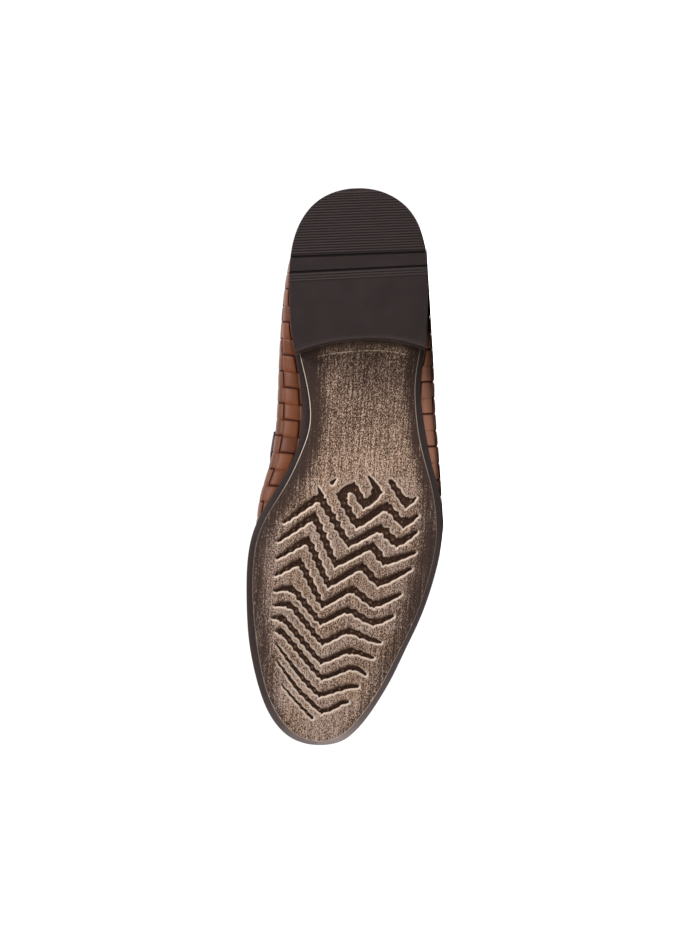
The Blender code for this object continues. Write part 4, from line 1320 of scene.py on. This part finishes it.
def heel_block():
    rows = np.concatenate((HEEL_FIRST_ROWS, np.arange(1.4, BREAST_START, 2.0),
                           BREAST_START + np.linspace(0.0, BREAST_ROWS, 12)))
    low, high = LIFT_HEIGHT + HEEL_GAP, float(sole_underside(0.0)) - HEEL_GAP
    heights = [(low, 0.9), (low + 0.1, 0.85)]
    for line in STACK_LINES:
        heights += [(line - 0.12, 0.75), (line, 1.0), (line + 0.12, 0.72)]
    heights += [(high - 0.1, 0.45), (high, 0.5)]
    layers = [heel_grid(rows, inset, height) for height, inset in heights]
    return slab(layers, {"edge": (np.zeros(layers[0].shape[:2]), 0.0)})


INSOLE_INSET = 1.2
INSOLE_THICKNESS = 2.6
INSOLE_TURN_UP = 2.6
INSOLE_ROWS = 90
INSOLE_COLUMNS = 30


def insole():
    """The sock, turned up a little along its edge."""
    stations = np.linspace(0.0, 1.0, INSOLE_ROWS)
    share = np.linspace(-1.0, 1.0, INSOLE_COLUMNS)
    x = feather.x(stations)
    x = np.clip(x, feather.back_x + INSOLE_INSET, feather.front_x - INSOLE_INSET)[:, None]
    low = feather.lateral(stations)[:, None] + INSOLE_INSET
    high = feather.medial(stations)[:, None] - INSOLE_INSET
    y = (low + high) / 2 + np.maximum((high - low) / 2, 0.01) * share
    ends = np.maximum(smoothstep(14, 4, x), smoothstep(286, 297, x))
    turn_up = INSOLE_TURN_UP * np.maximum(np.abs(share) ** 8, ends ** 2)
    x = np.broadcast_to(x, y.shape)
    base = sole_top(x) + HEEL_GAP
    top = np.stack((x, y, base + INSOLE_THICKNESS + turn_up), axis=-1)
    bottom = np.stack((x, y, base + turn_up * 0.6), axis=-1)
    return slab((bottom, top), {"inside": (np.ones(y.shape), 1.0)})


# ---- Materials

class Finish:
    """A material being put together, node by node."""

    def __init__(self, name):
        self.material = bpy.data.materials.new(name)
        self.material.use_nodes = True
        self.tree = self.material.node_tree
        self.shader = self.tree.nodes["Principled BSDF"]

    def put(self, socket, value):
        if isinstance(value, bpy.types.NodeSocket):
            self.tree.links.new(value, socket)
        else:
            socket.default_value = value

    def node(self, kind, inputs, output=0, **settings):
        node = self.tree.nodes.new(kind)
        for name, value in settings.items():
            setattr(node, name, value)
        for name, value in inputs.items():
            self.put(node.inputs[name], value)
        return node.outputs[output]

    def number(self, name):
        return self.node("ShaderNodeAttribute", {}, "Fac", attribute_name=name)

    def vector(self, name):
        return self.node("ShaderNodeAttribute", {}, "Vector", attribute_name=name)

    def stretch(self, vector, scale):
        return self.node("ShaderNodeMapping", {"Vector": vector, "Scale": scale})

    def noise(self, vector, scale, detail, roughness=0.55):
        inputs = {"Vector": vector, "Scale": scale, "Detail": detail, "Roughness": roughness}
        return self.node("ShaderNodeTexNoise", inputs, "Fac")

    def cells(self, vector, scale):
        return self.node("ShaderNodeTexVoronoi", {"Vector": vector, "Scale": scale}, "Distance")

    def axis(self, vector, name):
        return self.node("ShaderNodeSeparateXYZ", {"Vector": vector}, name)

    def math(self, operation, *values):
        return self.node("ShaderNodeMath", dict(enumerate(values)), operation=operation)

    def times(self, value, *others):
        for other in others:
            value = self.math("MULTIPLY", value, other)
        return value

    def blend(self, share, dark, light):
        """Dark where share is 0 and light where it is 1."""
        dark, light = (colour if isinstance(colour, bpy.types.NodeSocket) else (*colour, 1.0)
                       for colour in (dark, light))
        inputs = {"Factor": share, 6: dark, 7: light}  # 6 and 7 are a mix's two colours
        return self.node("ShaderNodeMix", inputs, 2, data_type="RGBA")

    def span(self, value, low, high, to_low=0.0, to_high=1.0):
        """From to_low to to_high, smoothly, as value goes from low to high."""
        inputs = {"Value": value, 1: low, 2: high, 3: to_low, 4: to_high}
        return self.node("ShaderNodeMapRange", inputs, interpolation_type="SMOOTHSTEP")

    def bump(self, height, distance, strength, below=None):
        inputs = {"Height": height, "Distance": distance * MM, "Strength": strength}
        if below is not None:
            inputs["Normal"] = below
        return self.node("ShaderNodeBump", inputs)

    def finish(self, colour, roughness, normal=None, specular=0.5):
        self.put(self.shader.inputs["Base Color"], colour)
        self.put(self.shader.inputs["Roughness"], roughness)
        self.shader.inputs["Specular IOR Level"].default_value = specular
        if normal is not None:
            self.put(self.shader.inputs["Normal"], normal)
        return self.material


def strip_leather():
    f = Finish("strip_leather")
    place = f.vector("place")
    drawn = f.noise(f.stretch(f.vector("strip"), (0.10, 1.1, 1.0)), 1.0, 4.0, 0.6)
    cloud = f.noise(place, 0.07, 2.0)
    grain = f.noise(place, 2.2, 4.0, 0.65)
    tone = f.math("ADD", f.times(f.number("tone"), 0.35), f.times(drawn, 0.55))
    tone = f.math("ADD", tone, f.times(cloud, 0.35))
    colour = f.blend(f.span(tone, 0.25, 0.95), (0.038, 0.0094, 0.0026), (0.070, 0.0195, 0.0058))
    # Painted light: the lateral quarter low beside the waist is lifted paler, as it gets little
    # light near the floor.
    colour = f.blend(f.times(f.number("pale"), 0.78), colour, (0.235, 0.108, 0.068))
    # Painted shadow: dark lines along each strip's edge away from the light, and on its dives under
    # its neighbours.
    edge = f.span(f.number("edge"), 0.80, 0.96)
    sunk = f.span(f.number("under"), 0.10, 0.48)
    for share, most in ((edge, 0.95), (sunk, 0.96)):
        colour = f.blend(f.times(share, most), colour, (0.017, 0.0024, 0.0008))
    roughness = f.span(grain, 0.3, 0.7, 0.42, 0.56)
    roughness = f.math("MAXIMUM", roughness, f.math("MAXIMUM", sunk, edge))
    normal = f.bump(grain, 0.10, 0.5)
    normal = f.bump(f.cells(place, 1.3), 0.05, 0.4, normal)
    normal = f.bump(drawn, 0.18, 0.5, normal)
    return f.finish(colour, roughness, normal, 0.09)


def plain_leather(name, dark, light, edge_colour, specular=0.35):
    """Full-grain leather, darker along its cut or turned edges."""
    f = Finish(name)
    place = f.vector("place")
    cloud = f.noise(place, 0.11, 3.0)
    grain = f.noise(place, 1.8, 5.0, 0.65)
    tone = f.math("ADD", f.times(cloud, 0.75), f.times(grain, 0.25))
    colour = f.blend(f.span(tone, 0.3, 0.7), dark, light)
    colour = f.blend(f.times(f.number("edge"), 0.8), colour, edge_colour)
    normal = f.bump(f.cells(place, 1.1), 0.08, 0.45)
    normal = f.bump(grain, 0.14, 0.5, normal)
    return f.finish(colour, f.span(grain, 0.3, 0.7, 0.36, 0.50), normal, specular)


def lining_leather():
    f = Finish("lining_leather")
    place = f.vector("place")
    cloud = f.noise(place, 0.05, 3.0)
    grain = f.noise(place, 1.4, 5.0, 0.7)
    tan = f.blend(f.span(cloud, 0.2, 0.8), (0.21, 0.120, 0.064), (0.245, 0.145, 0.079))
    colour = f.blend(f.number("inside"), (0.020, 0.008, 0.005), tan)
    return f.finish(colour, f.span(grain, 0.3, 0.7, 0.55, 0.75), f.bump(grain, 0.12, 0.5), 0.35)


def thread():
    f = Finish("thread")
    twist = f.noise(f.stretch(f.vector("place"), (2.0, 2.0, 2.0)), 2.0, 2.0)
    colour = f.blend(f.span(twist, 0.3, 0.7), (0.030, 0.011, 0.005), (0.095, 0.04, 0.02))
    return f.finish(colour, f.span(twist, 0.3, 0.7, 0.5, 0.7), f.bump(twist, 0.1, 0.6), 0.3)


def brushed_wash(f, place, speckle, coarse, streak):
    """The rubber's colour under a pale wash, and how much of the wash there is."""
    kept = f.number("wash")
    along = f.axis(place, "X")
    cloud = f.noise(place, 0.045, 2.0)
    speckling = f.span(kept, 0.15, 0.75, 1.8, 4.1)
    streaking = f.span(along, 165.0, 145.0, 1.2, 1.5)
    wash = f.math("MULTIPLY_ADD", kept, 0.52, -0.04)
    wash = f.math("ADD", wash, f.span(along, 168.0, 148.0, 0.0, -0.14))
    for texture, amount in ((speckle, speckling), (coarse, 0.5), (streak, streaking), (cloud, 0.4)):
        wash = f.math("MULTIPLY_ADD", f.math("SUBTRACT", texture, 0.5), amount, wash)
    tan = f.blend(f.span(cloud, 0.35, 0.65), (0.245, 0.167, 0.120), (0.238, 0.172, 0.140))
    tan = f.blend(f.span(along, 165.0, 145.0), tan, (0.285, 0.200, 0.150))
    shade = f.blend(kept, (0.019, 0.0115, 0.0095), (0.027, 0.0135, 0.0080))
    return f.blend(f.span(wash, 0.05, 0.95), shade, tan), wash


def groove_marks(f, place, speckle, colour):
    """Pale lips round the grooves, worn and brightened as a painted highlight where they face the
    light; painted shadow beside the lips that face away; and their dark floors, the bare rubber
    deepened as painted shade, with painted glints on the speckle and studs.
    """
    lip, lee = f.number("lip"), f.number("lee")
    along = f.axis(place, "X")
    # Painted highlight: lips facing the light are paler than their worn paint alone; towards the
    # waist, lips on both sides get it.
    turned = f.math("MAXIMUM", f.span(lee, -0.9, 0.5), f.span(along, 172.0, 162.0, 0.0, 0.6))
    wear_and_highlight = f.times(f.span(lip, 1.35, 0.25), f.span(speckle, 0.25, 0.50, 0.5, 1.0), turned,
                   f.span(f.number("wash"), 0.1, 0.7, 0.5, 0.95))
    colour = f.blend(wear_and_highlight, colour, (0.31, 0.246, 0.200))
    shaded = f.times(f.span(lip, 1.6, 0.0, 0.0, 0.8), f.span(lee, -0.5, -0.95),
                     f.span(along, 162.0, 174.0, 0.25, 1.0))
    colour = f.blend(shaded, colour, (0.024, 0.013, 0.008))
    # Painted glints: the speckle and the studs lighten the groove floors where their bumps would
    # catch the light.
    specks_and_glints = f.math("MAXIMUM", f.span(speckle, 0.52, 0.66, 0.0, 0.6), f.number("stud"))
    # The floors' dark colour: the bare rubber, deepened as painted shade.
    floor = f.blend(specks_and_glints, (0.013, 0.0055, 0.0032), (0.075, 0.040, 0.024))
    return f.blend(f.span(lip, 0.05, -0.35), colour, floor)


def rim_marks(f, coarse, colour):
    """The sole's dark edge with its pale stretches, partly painted light, and the fine line along
    its rim: a worn edge with a painted highlight.
    """
    rim = f.number("rim")
    band = f.blend(f.span(coarse, 0.3, 0.7), (0.0060, 0.0030, 0.0028), (0.0095, 0.0055, 0.0050))
    band = f.blend(f.number("pale"), band, (0.160, 0.130, 0.124))
    colour = f.blend(f.span(rim, 0.02, -0.3), colour, band)
    # Painted highlight: the rim line where the edge catches the light, strongest along the medial
    # waist.
    line = f.times(f.span(rim, -0.25, 0.0), f.span(rim, 0.38, 0.08), f.number("line"))
    return f.blend(line, colour, (0.40, 0.34, 0.28))


def breast_marks(f, place, coarse, colour):
    """A pale line drawn along the heel's breast, small ticks and the breast's shade."""
    ahead = f.number("ahead")
    across = f.axis(place, "Y")
    ends = f.times(f.span(across, -35.0, -32.0), f.span(across, 17.0, 10.0))
    drawn = f.times(f.span(ahead, 4.35, 4.75), f.span(ahead, 5.35, 4.95),
                    f.span(coarse, 0.38, 0.60, 0.08, 0.6), ends)
    colour = f.blend(drawn, colour, (0.34, 0.27, 0.19))
    ticks = f.span(f.math("SINE", f.times(across, 4.3)), 0.35, 0.95)
    ticks = f.times(ticks, f.span(ahead, 4.8, 3.4), ends, 0.4)
    colour = f.blend(ticks, colour, (0.16, 0.105, 0.06))
    return f.blend(f.span(ahead, 3.6, -0.5, 0.0, 0.75), colour, (0.012, 0.006, 0.004))


def washed_rubber():
    """Dark rubber with a pale wash dry-brushed over it."""
    f = Finish("washed_rubber")
    place = f.vector("place")
    speckle = f.noise(f.stretch(place, (0.75, 1.5, 1.0)), 1.6, 2.0, 0.65)
    coarse = f.noise(f.stretch(place, (0.5, 0.9, 1.0)), 0.9, 2.0)
    streak = f.noise(f.stretch(place, (0.035, 0.9, 0.0)), 1.0, 3.0, 0.6)
    colour, wash = brushed_wash(f, place, speckle, coarse, streak)
    colour = groove_marks(f, place, speckle, colour)
    colour = rim_marks(f, coarse, colour)
    colour = breast_marks(f, place, coarse, colour)
    normal = f.bump(speckle, 0.12, 0.6)
    normal = f.bump(streak, 0.12, 0.35, normal)
    return f.finish(colour, f.span(wash, 0.0, 1.0, 0.6, 0.85), normal, 0.04)


def lift_rubber():
    f = Finish("heel_rubber")
    place = f.vector("place")
    grain = f.noise(place, 1.6, 3.0, 0.6)
    cloud = f.noise(place, 0.06, 2.0)
    colour = f.blend(f.span(cloud, 0.3, 0.7), (0.0095, 0.0062, 0.0060), (0.0120, 0.0080, 0.0078))
    colour = f.blend(f.number("crest"), colour, (0.0205, 0.0145, 0.0143))
    colour = f.blend(f.span(f.number("depth"), 0.2, 0.38), colour, (0.0085, 0.0055, 0.0055))
    colour = f.blend(f.times(f.number("front"), 0.8), colour, (0.022, 0.0150, 0.0140))
    normal = f.bump(grain, 0.05, 0.4)
    return f.finish(colour, f.span(grain, 0.3, 0.7, 0.5, 0.62), normal, 0.07)


def stacked_heel():
    f = Finish("stacked_heel")
    place = f.vector("place")
    layers = f.noise(f.stretch(place, (0.02, 0.02, 1.6)), 1.0, 3.0)
    grain = f.noise(place, 1.2, 4.0, 0.65)
    colour = f.blend(f.span(layers, 0.35, 0.65), (0.018, 0.011, 0.009), (0.034, 0.021, 0.016))
    return f.finish(colour, f.span(grain, 0.3, 0.7, 0.35, 0.5), f.bump(layers, 0.15, 0.5), 0.3)


# ---- The stage

# The camera: the point of the tread it looks at, the height its frame holds there, and how
# far the shoe's length leans in the frame.
AIM = (149.7, -6.6)
CAMERA_DISTANCE = 850.0
FRAME_HEIGHT = 500.0
SENSOR = 36.0
SHOE_ROLL = math.radians(3.93947)
CAMERA_FLOOR_CLEARANCE = 0.004
FLOOR_REACH = 4.0


def add_camera():
    """The camera looks straight at the sole, with the shoe's length down the frame."""
    turn = RESTING.to_3x3()
    aim = RESTING @ (Vector((*AIM, 0.0)) * MM)
    toe, medial, up = (turn @ Vector(axis) for axis in ((1, 0, 0), (0, 1, 0), (0, 0, 1)))
    frame_up = -toe * math.cos(SHOE_ROLL) + medial * math.sin(SHOE_ROLL)
    place = aim - up * CAMERA_DISTANCE * MM
    place.z = max(place.z, CAMERA_FLOOR_CLEARANCE)
    backward = (place - aim).normalized()
    right = frame_up.cross(backward).normalized()
    camera = bpy.data.cameras.new("camera")
    camera.sensor_width = SENSOR
    camera.lens = CAMERA_DISTANCE * SENSOR / FRAME_HEIGHT
    camera.clip_start = 0.01
    holder = bpy.data.objects.new("camera", camera)
    axes = Matrix((right, backward.cross(right), backward)).transposed()
    holder.matrix_world = Matrix.Translation(place) @ axes.to_4x4()
    bpy.context.scene.collection.objects.link(holder)
    bpy.context.scene.camera = holder


def add_floor():
    mesh = bpy.data.meshes.new("floor")
    corners = np.array(((-1, -1, 0), (1, -1, 0), (1, 1, 0), (-1, 1, 0))) * FLOOR_REACH
    mesh.from_pydata(corners.tolist(), [], [(0, 1, 2, 3)])
    f = Finish("floor_paint")
    soft = f.noise(f.node("ShaderNodeNewGeometry", {}, "Position"), 3.0, 2.0)
    colour = f.blend(soft, (0.94, 0.94, 0.935), (0.96, 0.96, 0.955))
    mesh.materials.append(f.finish(colour, 0.9, specular=0.0))
    floor = bpy.data.objects.new("floor", mesh)
    bpy.context.scene.collection.objects.link(floor)


# Columns: name, place, width, height, power in watts. Each light faces the shoe.
LIGHTS = (
    ("key", (0.72, -0.45, 1.05), 0.5, 0.5, 34.0),
    ("fill", (-0.25, -1.2, 0.16), 0.9, 0.25, 3.0),
    ("back", (0.1, 1.0, 0.9), 1.2, 0.8, 5.0),
)
LIGHT_AIM = Vector((0.0, 0.0, 0.045))
WORLD_STRENGTH = 1.06


def add_lights():
    for name, place, width, height, power in LIGHTS:
        light = bpy.data.lights.new(name, "AREA")
        light.shape = "RECTANGLE"
        light.size = width
        light.size_y = height
        light.energy = power
        holder = bpy.data.objects.new(name, light)
        holder.location = place
        facing = LIGHT_AIM - Vector(place)
        holder.rotation_euler = facing.to_track_quat("-Z", "Y").to_euler()
        bpy.context.scene.collection.objects.link(holder)
    world = bpy.data.worlds.new("studio")
    world.use_nodes = True
    background = world.node_tree.nodes["Background"].inputs
    background["Color"].default_value = (1.0, 1.0, 1.0, 1.0)
    background["Strength"].default_value = WORLD_STRENGTH
    bpy.context.scene.world = world
    bpy.context.scene.view_settings.view_transform = "Standard"


# ---- The shoe

def dress_upper():
    leather = strip_leather()
    sewn = thread()
    trim = plain_leather("trim_leather", (0.055, 0.018, 0.008), (0.095, 0.034, 0.016),
                         (0.014, 0.005, 0.003))
    dark = plain_leather("strap_leather", (0.014, 0.006, 0.004), (0.028, 0.012, 0.008),
                         (0.006, 0.003, 0.0025), specular=0.16)
    lengthwise, crosswise = weave()
    add_piece("weave_lengthwise", lengthwise, leather, ("upper",))
    add_piece("weave_crosswise", crosswise, leather)
    add_piece("lining", lining(), lining_leather(), sharp_degrees=50)
    collar = collar_path()
    add_piece("collar_binding", collar_binding(*collar), trim)
    seam, foot = (on_collar(*collar, COLLAR_STITCH_DROP, height)
                  for height in (COLLAR_STITCH_HEIGHT, 0.0))
    add_piece("collar_stitches", stitches(seam, foot), sewn)
    add_piece("backstay", backstay(), trim)
    rows = [stitches(backstay_points(place, BACKSTAY_STITCH_HEIGHT), backstay_points(place, 0.0))
            for place in BACKSTAY_STITCH_PLACES]
    add_piece("backstay_stitches", joined(rows), sewn)
    add_piece("strap_leather", strap(), dark, ("saddle_strap",))
    rows = [stitches(strap_line(place, STRAP_STITCH_HEIGHT), strap_line(place, 0.0))
            for place in STRAP_STITCH_PLACES]
    add_piece("strap_stitches", joined(rows), sewn)


def dress_sole():
    add_piece("tread_sole", outsole(), washed_rubber(), ("outsole",), 50)
    add_piece("heel_tread", top_lift(), lift_rubber(), ("top_lift",), 35)
    add_piece("heel_stack_block", heel_block(), stacked_heel(), ("heel_block",), 35)
    add_piece("sock", insole(), lining_leather(), ("insole",), 60)


add_camera()
add_floor()
add_lights()
dress_upper()
dress_sole()
